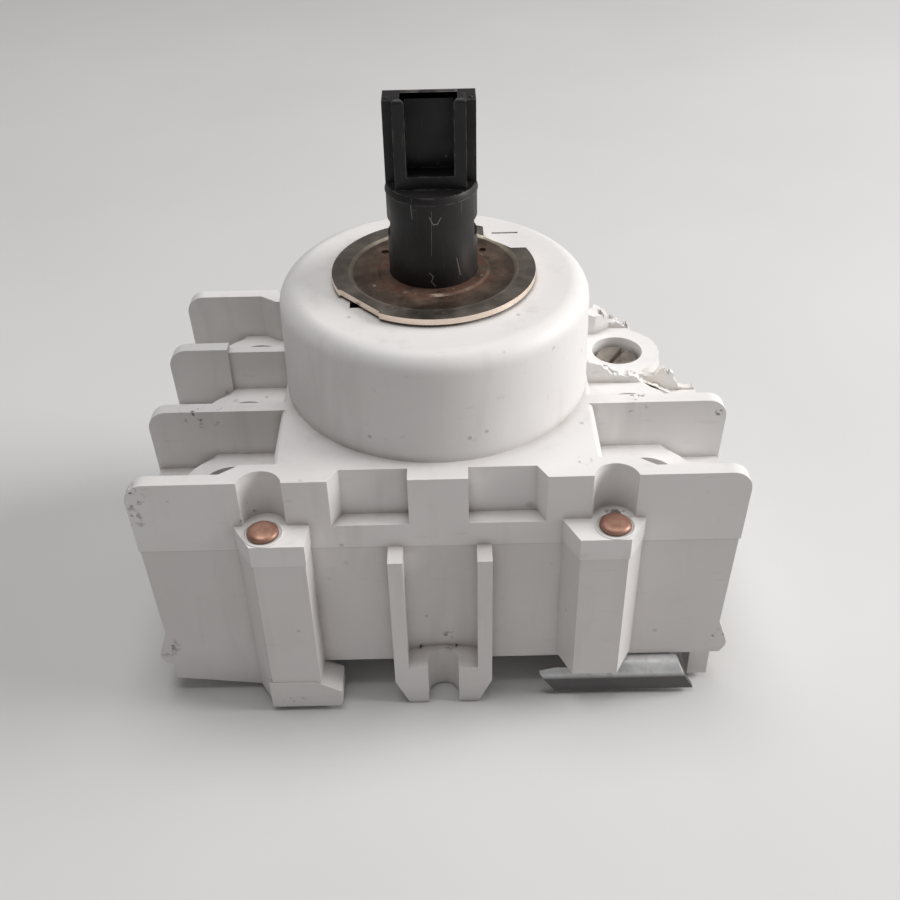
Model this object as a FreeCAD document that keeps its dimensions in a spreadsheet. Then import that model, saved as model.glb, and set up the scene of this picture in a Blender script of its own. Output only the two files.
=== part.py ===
import FreeCAD, Part
import math
import os
import re

import Sketcher
from FreeCAD import Rotation, Vector

os.makedirs("parts", exist_ok=True)
doc = FreeCAD.newDocument("disconnect_switch")

# Three-pole rotary switch disconnector for a 35 mm top-hat rail.
# X runs across the rail from the hook to the sprung clip, Y along the poles, Z up.
# The origin is the centre of the footprint at the bottom of the feet.
# All sizes are in millimetres. POLE_SIDES: -1 is the hook side, +1 the clip side.

SIZES = {
    # poles and the two mouldings
    "pole_pitch": 17.5,
    "fin_thick": 2.2,
    "fin_reach": 44.3,
    "fin_draft": 0.3,
    "fin_top": 42.7,
    "fin_corner": 3.0,
    "seam": 30.3,
    "seam_step": 0.15,
    "underside": 6.0,
    "floor_top": 8.4,
    "wall": 2.2,
    "side_reach": 43.8,
    "side_draft": 0.6,
    "side_wall": 2.8,
    "lip_proud": 1.0,
    "lip_peak": 8.3,
    "lip_top": 12.9,
    "skirt_low": 2.7,
    # deck, terminal bays and screw bosses
    "deck_reach": 23.6,
    "deck_foot_reach": 25.0,
    "deck_round": 1.0,
    "bulge_reach": 31.0,
    "bulge_shoulder": 28.2,
    "bulge_depth": 4.25,
    "bay_floor": 32.0,
    "platform_reach": 34.5,
    "ramp_reach": 38.2,
    "terminal_reach": 31.5,
    "boss_top": 34.6,
    "crack_low": 23.6,
    "boss_radius": 7.55,
    "boss_top_radius": 7.25,
    "access_radius": 4.35,
    "stub_deck_high": 39.5,
    "stub_low": 34.2,
    "stub_end": 43.4,
    "tear_end": 43.9,
    "step_reach": 34.5,
    "step_drop": 0.9,
    "step_depth": 0.6,
    # drum and its top
    "drum_foot_radius": 23.8,
    "drum_top_radius": 23.2,
    "drum_top": 59.9,
    "drum_round": 3.0,
    "drum_wall": 2.5,
    "cavity_reach": 21.4,
    "cavity_half_depth": 22.4,
    "cavity_top": 40.2,
    "bearing_radius": 9.0,
    "bearing_low": 52.8,
    "window_left": 12.1,
    "window_front": 9.25,
    "window_wide": 5.5,
    "window_deep": 8.0,
    # recesses beside the middle of the front and rear walls
    "recess_inner": 4.3,
    "recess_outer": 15.5,
    "recess_back_outer": 14.1,
    "recess_depth": 2.6,
    "recess_floor": 34.5,
    # riveted pillars
    "pillar_proud": 4.75,
    "pillar_top": 34.9,
    "pillar_joint": 31.2,
    "pillar_slim": 0.15,
    "hook_pillar_out": 29.7,
    "hook_pillar_front_out": 26.8,
    "hook_pillar_front_in": 19.0,
    "hook_pillar_in": 18.7,
    "clip_pillar_in": 17.7,
    "clip_pillar_front_in": 19.9,
    "clip_pillar_front_out": 27.1,
    "clip_pillar_out": 29.8,
    "clip_pillar_low": 6.9,
    "rivet_reach": 25.1,
    "rivet_proud": 1.8,
    "groove_proud": 0.45,
    "rivet_radius": 1.5,
    "rivet_head_radius": 2.4,
    "rivet_head_high": 1.1,
    "rivet_tail_radius": 2.0,
    "rivet_tail_high": 0.8,
    "rivet_tail_low": 8.2,
    "rivet_gap": 0.1,
    "tail_gap": 0.3,
    "groove_radius": 3.2,
    # rail hook, clip, centre leg and small feet
    "hook_tip": 16.0,
    "hook_start": 20.1,
    "hook_ledge": 6.4,
    "hook_low": 0.8,
    "hook_tip_high": 4.1,
    "hook_deep": 5.3,
    "hook_bevel": 0.4,
    "leg_reach": 7.6,
    "leg_foot_reach": 5.5,
    "leg_proud": 3.7,
    "leg_rib": 2.2,
    "leg_chamfer_high": 4.8,
    "leg_floor": 7.8,
    "leg_back": 5.3,
    "channel_deep": 1.2,
    "channel_edge": 0.4,
    "slot_radius": 2.4,
    "slot_centre_proud": 2.15,
    "clip_foot_inset": 1.3,
    "clip_foot_wide": 3.1,
    "clip_foot_low": 0.8,
    "clip_foot_deep": 6.0,
    "clip_sheet": 1.0,
    "clip_gap": 0.3,
    "clip_proud": 2.7,
    "clip_bend": 2.7,
    "clip_low": 0.8,
    "clip_tip": 15.2,
    "clip_tip_high": 4.5,
    "clip_tip_base": 18.4,
    "clip_shoulder": 20.6,
    "clip_web_in": 21.0,
    "clip_end_top_inset": 6.8,
    "clip_end_low_inset": 3.9,
    "clip_travel": 3.0,
    "clip_tab_in": 22.0,
    "clip_tab_wide": 6.0,
    "stud_reach": 29.5,
    "stud_offset": 16.0,
    "stud_radius": 1.9,
    "stud_head_radius": 3.2,
    "stud_head_high": 1.3,
    "guide_gap": 0.25,
    "clip_lug_in": 32.5,
    "clip_lug_long": 2.0,
    "clip_lug_wide": 4.0,
    "clip_spring_radius": 1.5,
    "clip_spring_wire": 0.6,
    "clip_spring_turns": 6,
    # chambers in the lower moulding
    "chamber_wall": 1.6,
    "cage_gap": 0.9,
    "entry_wide": 9.4,
    "entry_low": 14.8,
    "entry_top": 20.6,
    # current path
    "busbar_low": 20.5,
    "busbar_thick": 1.5,
    "busbar_wide": 8.0,
    "strip_end_gap": 2.5,
    "busbar_start": 16.5,
    "arm_long": 3.0,
    "tab_start": 10.5,
    "tab_thick": 1.0,
    "tab_face": 6.3,
    "tab_top": 25.6,
    "tip_reach": 12.5,
    "tip_radius": 1.8,
    "tip_thick": 0.5,
    "tip_high": 23.6,
    "slip_gap": 0.1,
    # terminal clamps
    "cage_long": 9.2,
    "cage_wide": 10.6,
    "cage_low": 13.8,
    "cage_floor": 1.6,
    "cage_side": 1.2,
    "cage_top": 25.8,
    "cage_nut": 2.0,
    "cage_travel": 4.2,
    "screw_radius": 1.95,
    "thread_gap": 0.05,
    "screw_head_radius": 3.5,
    "screw_head_low": 30.9,
    "screw_head_high": 2.4,
    "screw_slot_wide": 1.1,
    "screw_slot_deep": 1.1,
    "screw_turned": 58.0,
    # moving contacts
    "carrier_half": 5.0,
    "carrier_low": 18.1,
    "carrier_high": 28.5,
    "carrier_gap": 0.3,
    "carrier_web": 1.8,
    "contact_travel": 6.0,
    "bridge_back": -2.05,
    "bridge_thick": 1.2,
    "bridge_reach": 15.0,
    "bridge_high": 4.0,
    "contact_spring_long": 3.6,
    "contact_spring_radius": 1.5,
    "contact_spring_wire": 0.45,
    "contact_spring_turns": 4,
    # shaft, cam and spring
    "shaft_radius": 6.5,
    "bearing_gap": 0.08,
    "shaft_square": 8.0,
    "square_gap": 0.1,
    "cam_low": 33.5,
    "cam_thick": 3.0,
    "cam_radius": 16.0,
    "cam_hub_radius": 7.6,
    "cam_hub_high": 3.5,
    "cam_pin_radius": 1.5,
    "cam_pin_gap": 0.15,
    "cam_pin_start": 6.5,
    "flange_low": 50.0,
    "flange_thick": 2.5,
    "flange_radius": 13.8,
    "snap_spring_radius": 12.0,
    "snap_spring_wire": 1.6,
    "snap_spring_turns": 5,
    "snap_leg_deep": 2.0,
    "cam_screw_head_radius": 3.6,
    "cam_screw_head_high": 1.8,
    "cam_screw_radius": 1.5,
    "cam_screw_long": 9.0,
    "plate_gap": 0.1,
    "plate_radius": 15.15,
    "plate_thick": 0.9,
    "plate_drop": 0.3,
    "plate_step_radius": 12.5,
    "plate_collar_radius": 8.4,
    "notch_near": 7.8,
    "notch_far": 11.8,
    "notch_low": 5.6,
    "notch_high": 9.7,
    "worn_notch_near": 7.7,
    "worn_notch_high": 12.6,
    "worn_notch_far": 13.4,
    "worn_notch_low": 6.3,
    "plate_hole_reach": 7.4,
    "plate_hole_back": 5.8,
    "plate_hole_radius": 0.6,
    "index_line_start": 9.2,
    "index_line_end": 13.3,
    "index_line_row": 13.0,
    "index_line_wide": 0.5,
    "index_line_deep": 0.25,
    "neck_high": 68.6,
    "neck_tall": 2.6,
    "neck_reach": 6.0,
    "collar_low": 74.0,
    "collar_high": 75.0,
    "collar_radius": 6.65,
    "coupling_half": 6.4,
    "coupling_half_deep": 3.4,
    "coupling_top": 86.7,
    "ear_half": 5.0,
    "ear_start": -1.0,
    "ear_top": 87.7,
    "socket_half": 3.3,
    "socket_deep": 3.2,
    "socket_floor": 76.9,
}

# Places that follow from the sizes above.
LAYOUT = {
    "half_depth": "pole_pitch * 1.5 + fin_thick / 2",
    "lip_reach": "side_reach + lip_proud",
    "side_low_reach": "side_reach - side_draft",
    "chamber_start": "terminal_reach - cage_long / 2 - cage_gap",
    "contact_chamber_end": "chamber_start - chamber_wall",
    "chamber_end": "side_reach - side_wall",
    "busbar_end": "chamber_end - strip_end_gap",
    "clip_foot_out": "side_reach - clip_foot_inset",
    "clip_foot_in": "clip_foot_out - clip_foot_wide",
    "clip_end_top": "side_reach - clip_end_top_inset",
    "clip_end_low": "side_reach - clip_end_low_inset",
    "groove_row": "half_depth + groove_proud",
    "lower_half_depth": "half_depth - seam_step",
    "bay_half": "pole_pitch / 2 - fin_thick / 2",
    "crack_front": "pole_pitch / 2 + fin_thick / 2",
    "pillar_face": "half_depth + pillar_proud",
    "leg_face": "half_depth + leg_proud",
    "rivet_row": "half_depth + rivet_proud",
    "slot_row": "half_depth + slot_centre_proud",
    "clip_top": "underside - clip_gap",
    "clip_face": "half_depth + clip_proud",
    "tab_inner": "tab_face + tab_thick",
    "busbar_top": "busbar_low + busbar_thick",
    "bridge_front": "bridge_back + bridge_thick",
    "tip_face": "bridge_front + tip_thick",
    "window_back": "bridge_back - contact_spring_long",
    "bridge_low": "tip_high - bridge_high / 2",
    "cam_top": "cam_low + cam_thick",
    "hub_top": "cam_low + cam_thick + cam_hub_high",
    "spring_low": "cam_top + slip_gap * 2",
    "spring_high": "flange_low - slip_gap * 2",
    "snap_leg_offset": "snap_spring_wire / 2 + slip_gap / 2",
    "plate_low": "drum_top + plate_gap",
    "plate_floor": "plate_low + plate_thick",
    "plate_rim_low": "plate_low + plate_drop",
    "plate_rim": "plate_low + plate_drop + plate_thick",
    "passage_low": "carrier_low - carrier_gap",
    "passage_half": "carrier_half + carrier_gap",
    "lug_end": "clip_lug_in + clip_lug_long",
    "clip_tab_out": "clip_tab_in + clip_sheet",
}


def fill_sheet(name, rows):
    """A sheet with one named cell in each row: plain numbers, or formulas on them."""
    sheet = doc.addObject("Spreadsheet::Sheet", name)
    for row, (alias, content) in enumerate(rows.items(), start=1):
        sheet.set(f"A{row}", alias)
        sheet.set(f"B{row}", str(content))
        sheet.setAlias(f"B{row}", alias)
    return sheet


def tied(text, here=""):
    """The expression with each size and place written with the sheet that holds it."""
    def tie(found):
        name = found.group(0)
        if name in SIZES:
            return "Sizes." + name
        if name in LAYOUT and here != "Layout":
            return "Layout." + name
        return name
    return re.sub(r"[A-Za-z_]\w*", tie, str(text))


sizes = fill_sheet("Sizes", SIZES)
layout = fill_sheet("Layout", {name: "=" + tied(text, "Layout") for name, text in LAYOUT.items()})
doc.recompute()


def value(text):
    """What an expression on the two sheets comes to."""
    return float(layout.evalExpression(tied(text)))


def bind(piece, **links):
    """Tie properties to expressions; Base__x stands for Placement.Base.x."""
    for prop, text in links.items():
        path = prop.replace("Base__", "Placement.Base.").replace("__", ".")
        piece.setExpression(path, tied(text))
    return piece


def block(name, x, y, z):
    """A box between two places on each axis."""
    piece = doc.addObject("Part::Box", name)
    bind(piece, Length=f"({x[1]}) - ({x[0]})", Width=f"({y[1]}) - ({y[0]})", Height=f"({z[1]}) - ({z[0]})")
    return bind(piece, Base__x=x[0], Base__y=y[0], Base__z=z[0])


TURNS = {"X": Rotation(Vector(0, 1, 0), 90), "Y": Rotation(Vector(1, 0, 0), -90), "Z": Rotation()}


def rod(name, axis, centre, span, radius, end_radius=None):
    """A cylinder, or a cone where an end radius is given, along one axis over a span of it."""
    kind = "Part::Cylinder" if end_radius is None else "Part::Cone"
    piece = doc.addObject(kind, name)
    piece.Placement = FreeCAD.Placement(Vector(), TURNS[axis])
    places = list(centre)
    places.insert("XYZ".index(axis), span[0])
    bind(piece, Height=f"({span[1]}) - ({span[0]})", Base__x=places[0], Base__y=places[1], Base__z=places[2])
    if end_radius is None:
        return bind(piece, Radius=radius)
    return bind(piece, Radius1=radius, Radius2=end_radius)


PLANES = {
    "XY": (Rotation(), "Base__z"),
    "XZ": (Rotation(Vector(1, 0, 0), 90), "Base__y"),
    "YZ": (Rotation(Vector(1, 1, 1), 120), "Base__x"),
}


def outline(sketch, points):
    """Close a sketch round the points, each held to its own two expressions."""
    here = [Vector(value(across), value(up), 0) for across, up in points]
    for start, end in zip(here, here[1:] + here[:1]):
        sketch.addGeometry(Part.LineSegment(start, end), False)
    count = len(points)
    for index, (across, up) in enumerate(points):
        sketch.addConstraint(Sketcher.Constraint("Coincident", index, 1, (index - 1) % count, 2))
    for index, (across, up) in enumerate(points):
        for kind, text in (("DistanceX", across), ("DistanceY", up)):
            row = sketch.addConstraint(Sketcher.Constraint(kind, index, 1, value(text)))
            sketch.setExpression(f"Constraints[{row}]", tied(text))
    return sketch


def prism(name, plane, points, span):
    """An outline in a plane, pulled along the third axis over a span of it."""
    turn, base = PLANES[plane]
    sketch = outline(doc.addObject("Sketcher::SketchObject", name + "_outline"), points)
    sketch.Placement = FreeCAD.Placement(Vector(), turn)
    bind(sketch, **{base: span[0]})
    piece = doc.addObject("Part::Extrusion", name)
    piece.Base = sketch
    piece.DirMode = "Custom"
    piece.Dir = {"XY": Vector(0, 0, 1), "XZ": Vector(0, 1, 0), "YZ": Vector(1, 0, 0)}[plane]
    piece.Solid = True
    return bind(piece, LengthFwd=f"({span[1]}) - ({span[0]})")


def fuse(name, *pieces):
    joined = doc.addObject("Part::MultiFuse", name)
    joined.Shapes = list(pieces)
    joined.Refine = True
    return joined


def cut(name, base, *tools):
    left = doc.addObject("Part::Cut", name)
    left.Base = base
    left.Tool = tools[0] if len(tools) == 1 else fuse(name + "_tools", *tools)
    left.Refine = True
    return left


def common(name, first, second):
    shared = doc.addObject("Part::Common", name)
    shared.Base = first
    shared.Tool = second
    return shared


def rounded(name, base, radius, picked):
    """Round the edges that picked() chooses by their middle point and direction."""
    doc.recompute()
    piece = doc.addObject("Part::Fillet", name)
    piece.Base = base
    chosen = []
    for number, edge in enumerate(base.Shape.Edges, start=1):
        middle = edge.valueAt((edge.FirstParameter + edge.LastParameter) / 2)
        if picked(middle, edge):
            chosen.append((number, value(radius), value(radius)))
    piece.Edges = chosen
    return piece


def near(one, other):
    return abs(one - other) < 0.01


def along(edge, axis):
    """Whether a straight edge runs along an axis."""
    ends = edge.Vertexes
    if len(ends) != 2 or edge.Curve.TypeId != "Part::GeomLine":
        return False
    return abs((ends[1].Point - ends[0].Point).normalize().dot(axis)) > 0.999


def mirrored_points(points, side):
    """Points given for the clip side, or their mirror image for the hook side."""
    return [(across if side > 0 else f"-({across})", up) for across, up in points]


def span_of(side, near_end, far_end):
    """A span between two distances from the middle plane, on one side of it."""
    return (near_end, far_end) if side > 0 else (f"-({far_end})", f"-({near_end})")


def pole_centre(pole):
    return f"pole_pitch * ({pole} - 2)"


SIDES = (-1, 1)
POLES = (1, 2, 3)
SIDE_NAMES = {-1: "hook", 1: "clip"}
END_NAMES = {-1: "front", 1: "rear"}
CIRCUIT_NAMES = {-1: "line", 1: "load"}
nodes = {}


def sub_part(label, piece):
    """Enter a finished piece under the name of its node and file."""
    piece.Label = label
    nodes[label] = piece


def body(name):
    return doc.addObject("PartDesign::Body", name)


def body_sketch(holder, name, role, points):
    """An outline on one of a body's own origin planes."""
    sketch = holder.newObject("Sketcher::SketchObject", name)
    plane = [feature for feature in holder.Origin.OriginFeatures if feature.Role == role][0]
    sketch.AttachmentSupport = [(plane, "")]
    sketch.MapMode = "FlatFace"
    return outline(sketch, points)


def turned(holder, name, points):
    """A solid of revolution about the body's Z axis from (radius, height) points."""
    sketch = body_sketch(holder, name + "_profile", "XZ_Plane", points)
    feature = holder.newObject("PartDesign::Revolution", name)
    feature.Profile = sketch
    feature.ReferenceAxis = (sketch, ["V_Axis"])
    feature.Angle = 360
    return feature


def raised(holder, name, points, low, high):
    """A pad of an XY outline between two heights."""
    sketch = body_sketch(holder, name + "_outline", "XY_Plane", points)
    sketch.setExpression("AttachmentOffset.Base.z", tied(low))
    feature = holder.newObject("PartDesign::Pad", name)
    feature.Profile = sketch
    feature.setExpression("Length", tied(f"({high}) - ({low})"))
    return feature


def sunk(holder, name, points, low, high, role="XY_Plane"):
    """A pocket of an outline between two places along the plane's axis."""
    sketch = body_sketch(holder, name + "_outline", role, points)
    sketch.setExpression("AttachmentOffset.Base.z", tied(high))
    feature = holder.newObject("PartDesign::Pocket", name)
    feature.Profile = sketch
    feature.setExpression("Length", tied(f"({high}) - ({low})"))
    return feature


def rectangle(x, y):
    return [(x[0], y[0]), (x[1], y[0]), (x[1], y[1]), (x[0], y[1])]


def coil(radius, wire, turns, length):
    """A wire of ten-sided section wound about Z, the middle of its first end level with the origin."""
    mean = value(radius)
    gauge = value(wire) / 2
    rise = value(length) - 2 * gauge
    path = Part.Wire(Part.makeLongHelix(rise / turns, rise, mean).Edges)
    angles = [math.radians(36 * corner) for corner in range(10)]
    corners = [Vector(mean + gauge * math.cos(angle), 0, gauge * math.sin(angle)) for angle in angles]
    ring = Part.makePolygon(corners + corners[:1])
    return path.makePipeShell([ring], True, True)


# Upper moulding: four fins, the deck between the bays, six screw bosses and the drum.

def fin_outline(side):
    """Half a whole fin, from the middle plane to its outer edge."""
    return mirrored_points([
        ("0", "seam"),
        ("fin_reach - fin_draft", "seam"),
        ("fin_reach", "fin_top - fin_corner"),
        ("fin_reach", "fin_top"),
        ("0", "fin_top"),
    ], side)


def torn_front_outline():
    """The front half of the third fin's thickness on the clip side, torn down to the platform."""
    return [
        ("0", "seam"), ("fin_reach - fin_draft", "seam"), ("tear_end", "bay_floor"), ("tear_end - 4.4", "bay_floor"),
        ("tear_end - 7", "bay_floor + 1.4"), ("tear_end - 8.6", "bay_floor + 2.2"),
        ("tear_end - 9.8", "bay_floor + 2.8"), ("tear_end - 10.5", "bay_floor + 3.6"),
        ("tear_end - 12.3", "bay_floor + 3.9"), ("tear_end - 14.6", "bay_floor + 4.7"),
        ("tear_end - 15.4", "bay_floor + 5.6"), ("deck_reach + 1", "bay_floor + 6.5"),
        ("deck_reach", "fin_top - deck_round"), ("deck_reach", "fin_top"), ("0", "fin_top"),
    ]


def torn_back_outline():
    """The back half of the same fin, where a spur still stands beside the boss."""
    return [
        ("0", "seam"), ("fin_reach - fin_draft", "seam"), ("tear_end", "bay_floor - 0.3"),
        ("tear_end - 0.4", "bay_floor + 0.6"), ("tear_end - 2", "bay_floor + 0.7"),
        ("tear_end - 2.9", "bay_floor + 1.1"), ("tear_end - 3.2", "bay_floor + 2"),
        ("tear_end - 4.4", "bay_floor + 3.5"), ("tear_end - 5.6", "bay_floor + 4.6"),
        ("tear_end - 6.4", "bay_floor + 4.4"), ("tear_end - 7.4", "bay_floor + 3.1"),
        ("tear_end - 10.5", "bay_floor + 3.2"), ("tear_end - 14.6", "bay_floor + 4.4"),
        ("deck_reach + 1", "bay_floor + 6.3"), ("deck_reach", "fin_top - deck_round"), ("deck_reach", "fin_top"),
        ("0", "fin_top"),
    ]


def broken_rear_outline():
    """What is left of the rear fin on the clip side."""
    return [
        ("0", "seam"), ("fin_reach - fin_draft", "seam"), ("stub_end - 0.6", "stub_low - 1.6"),
        ("stub_end - 5", "stub_low - 0.9"), ("stub_end - 8.8", "stub_low + 0.3"),
        ("stub_end - 10.2", "stub_low + 0.9"), ("stub_end - 10.7", "stub_low + 1.6"),
        ("stub_end - 12.5", "stub_low + 2.2"), ("stub_end - 12.8", "stub_low + 3.4"),
        ("stub_end - 16.4", "stub_deck_high - 0.5"), ("deck_reach + 1.2", "stub_deck_high + 0.6"),
        ("deck_reach", "fin_top"), ("0", "fin_top"),
    ]


def broken_corner(name, span):
    """The corner behind the third fin on the clip side, broken off round the last screw boss."""
    boss_edge = "terminal_reach + boss_radius"
    points = [
        (f"{boss_edge} + 0.1", "crack_front"), (f"{boss_edge} + 0.2", "crack_front + 4.2"),
        (f"{boss_edge} + 0.05", "crack_front + 8.6"), (f"{boss_edge} - 0.5", "crack_front + 10.6"),
        (f"{boss_edge} - 1.5", "crack_front + 12.3"), (f"{boss_edge} - 2.8", "crack_front + 13.7"),
        (f"{boss_edge} - 4.3", "crack_front + 14.6"), (f"{boss_edge} - 4.9", "half_depth + 1"),
        ("fin_reach + 2", "half_depth + 1"), ("fin_reach + 2", "crack_front"),
    ]
    return prism(name, "XY", points, span)


def torn_bulge():
    """What broke off above the tear line of the rear fin, the groove's bulge with it."""
    points = [
        ("deck_reach + 0.3", "fin_top + 1"), ("deck_reach + 0.6", "stub_low + 7.3"),
        ("deck_reach + 1.9", "stub_low + 6.1"), ("deck_reach + 3.4", "stub_low + 4.7"),
        ("deck_reach + 5.2", "stub_low + 3.8"), ("deck_reach + 7", "stub_low + 3.1"),
        ("deck_reach + 7.1", "stub_low + 1.9"), ("deck_reach + 8.3", "stub_low + 1.5"),
        ("deck_reach + 9.4", "stub_low + 1.2"), ("deck_reach + 9.8", "boss_top + 0.1"),
        ("platform_reach + 2", "boss_top + 0.1"), ("platform_reach + 2", "fin_top + 1"),
    ]
    return prism("torn_bulge", "XZ", points, ("half_depth - bulge_depth - 0.3", "half_depth + 1"))


def crack_slope():
    """The uneven height at which the lower moulding's side and rear walls are torn."""
    points = [
        ("crack_front - 1", "crack_low + 4.6"), ("crack_front + 0.9", "crack_low + 4.2"),
        ("crack_front + 1.8", "crack_low + 2.9"), ("crack_front + 3.4", "crack_low + 2.5"),
        ("crack_front + 5.2", "crack_low + 1.1"), ("crack_front + 7.7", "crack_low + 1.5"),
        ("crack_front + 10.4", "crack_low + 0.4"), ("crack_front + 13.1", "crack_low + 0.9"),
        ("crack_front + 15.2", "crack_low"), ("half_depth + 1", "crack_low + 0.3"), ("half_depth + 1", "seam + 1"),
        ("crack_front - 1", "seam + 1"),
    ]
    return prism("crack_slope", "YZ", points, ("terminal_reach", "fin_reach + 1"))


def fin(number):
    """One barrier fin across the moulding, with both halves and its rounded corners."""
    start = f"pole_pitch * ({number} - 2.5) - fin_thick / 2"
    span = (start, f"{start} + fin_thick")
    halves = []
    for side in SIDES:
        name = f"fin_{number}_{SIDE_NAMES[side]}"
        if side > 0 and number == 3:
            middle = f"{start} + fin_thick / 2"
            halves.append(prism(name + "_front", "XZ", torn_front_outline(), (start, middle)))
            halves.append(prism(name + "_back", "XZ", torn_back_outline(), (middle, span[1])))
        elif side > 0 and number == 4:
            halves.append(prism(name, "XZ", broken_rear_outline(), span))
        else:
            plain = prism(name, "XZ", fin_outline(side), span)
            corner = lambda middle, edge: (near(abs(middle.x), value("fin_reach"))
                                           and near(middle.z, value("fin_top"))
                                           and along(edge, Vector(0, 1, 0)))
            halves.append(rounded(name + "_round", plain, "fin_corner", corner))
    return halves


def upper_pillar(side, end):
    """The riveted pillar top that stands out of the end wall."""
    name = f"upper_pillar_{SIDE_NAMES[side]}_{END_NAMES[end]}"
    front = "pillar_face" if end > 0 else "-pillar_face"
    back = "half_depth - 1" if end > 0 else "1 - half_depth"
    wall_face = "half_depth" if end > 0 else "-half_depth"
    kind = "hook" if side < 0 else "clip"
    sign = "-" if side < 0 else ""
    points = [
        (f"{sign}{kind}_pillar_out", back), (f"{sign}{kind}_pillar_out", wall_face),
        (f"{sign}{kind}_pillar_front_out", front), (f"{sign}{kind}_pillar_front_in", front),
        (f"{sign}{kind}_pillar_in", wall_face), (f"{sign}{kind}_pillar_in", back),
    ]
    return prism(name, "XY", points, ("pillar_joint", "pillar_top"))


def recess_tool(side, end):
    """The shallow recess in the top of an end wall: square inside, slanted outside."""
    sign = "" if end > 0 else "-"
    points = mirrored_points([
        ("recess_inner", f"{sign}(half_depth + 1)"), ("recess_outer", f"{sign}(half_depth + 1)"),
        ("recess_outer", f"{sign}half_depth"), ("recess_back_outer", f"{sign}(half_depth - recess_depth)"),
        ("recess_inner", f"{sign}(half_depth - recess_depth)"),
    ], side)
    return prism(f"recess_{SIDE_NAMES[side]}_{END_NAMES[end]}", "XY", points, ("recess_floor", "fin_top + 1"))


def groove_bulge(side, end):
    """The thickening behind an end fin that wraps the rivet groove."""
    sign = "" if end > 0 else "-"
    points = mirrored_points([
        ("cavity_reach + 0.5", f"{sign}(half_depth - fin_thick / 2)"), ("bulge_reach", f"{sign}(half_depth - fin_thick / 2)"),
        ("bulge_reach", f"{sign}(half_depth - fin_thick)"), ("bulge_shoulder", f"{sign}(half_depth - bulge_depth)"),
        ("cavity_reach + 0.5", f"{sign}(half_depth - bulge_depth)"),
    ], side)
    return prism(f"bulge_{SIDE_NAMES[side]}_{END_NAMES[end]}", "XY", points, ("bay_floor", "fin_top"))


def platform(side):
    """The raised floor beside the deck, level with the bosses, with a ramp down to the bay floor."""
    points = mirrored_points([
        ("deck_reach - 1", "seam"), ("side_reach", "seam"), ("side_reach", "bay_floor"), ("ramp_reach", "bay_floor"),
        ("platform_reach", "boss_top"), ("deck_reach - 1", "boss_top"),
    ], side)
    return prism(f"platform_{SIDE_NAMES[side]}", "XZ", points, ("-half_depth", "half_depth"))


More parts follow.
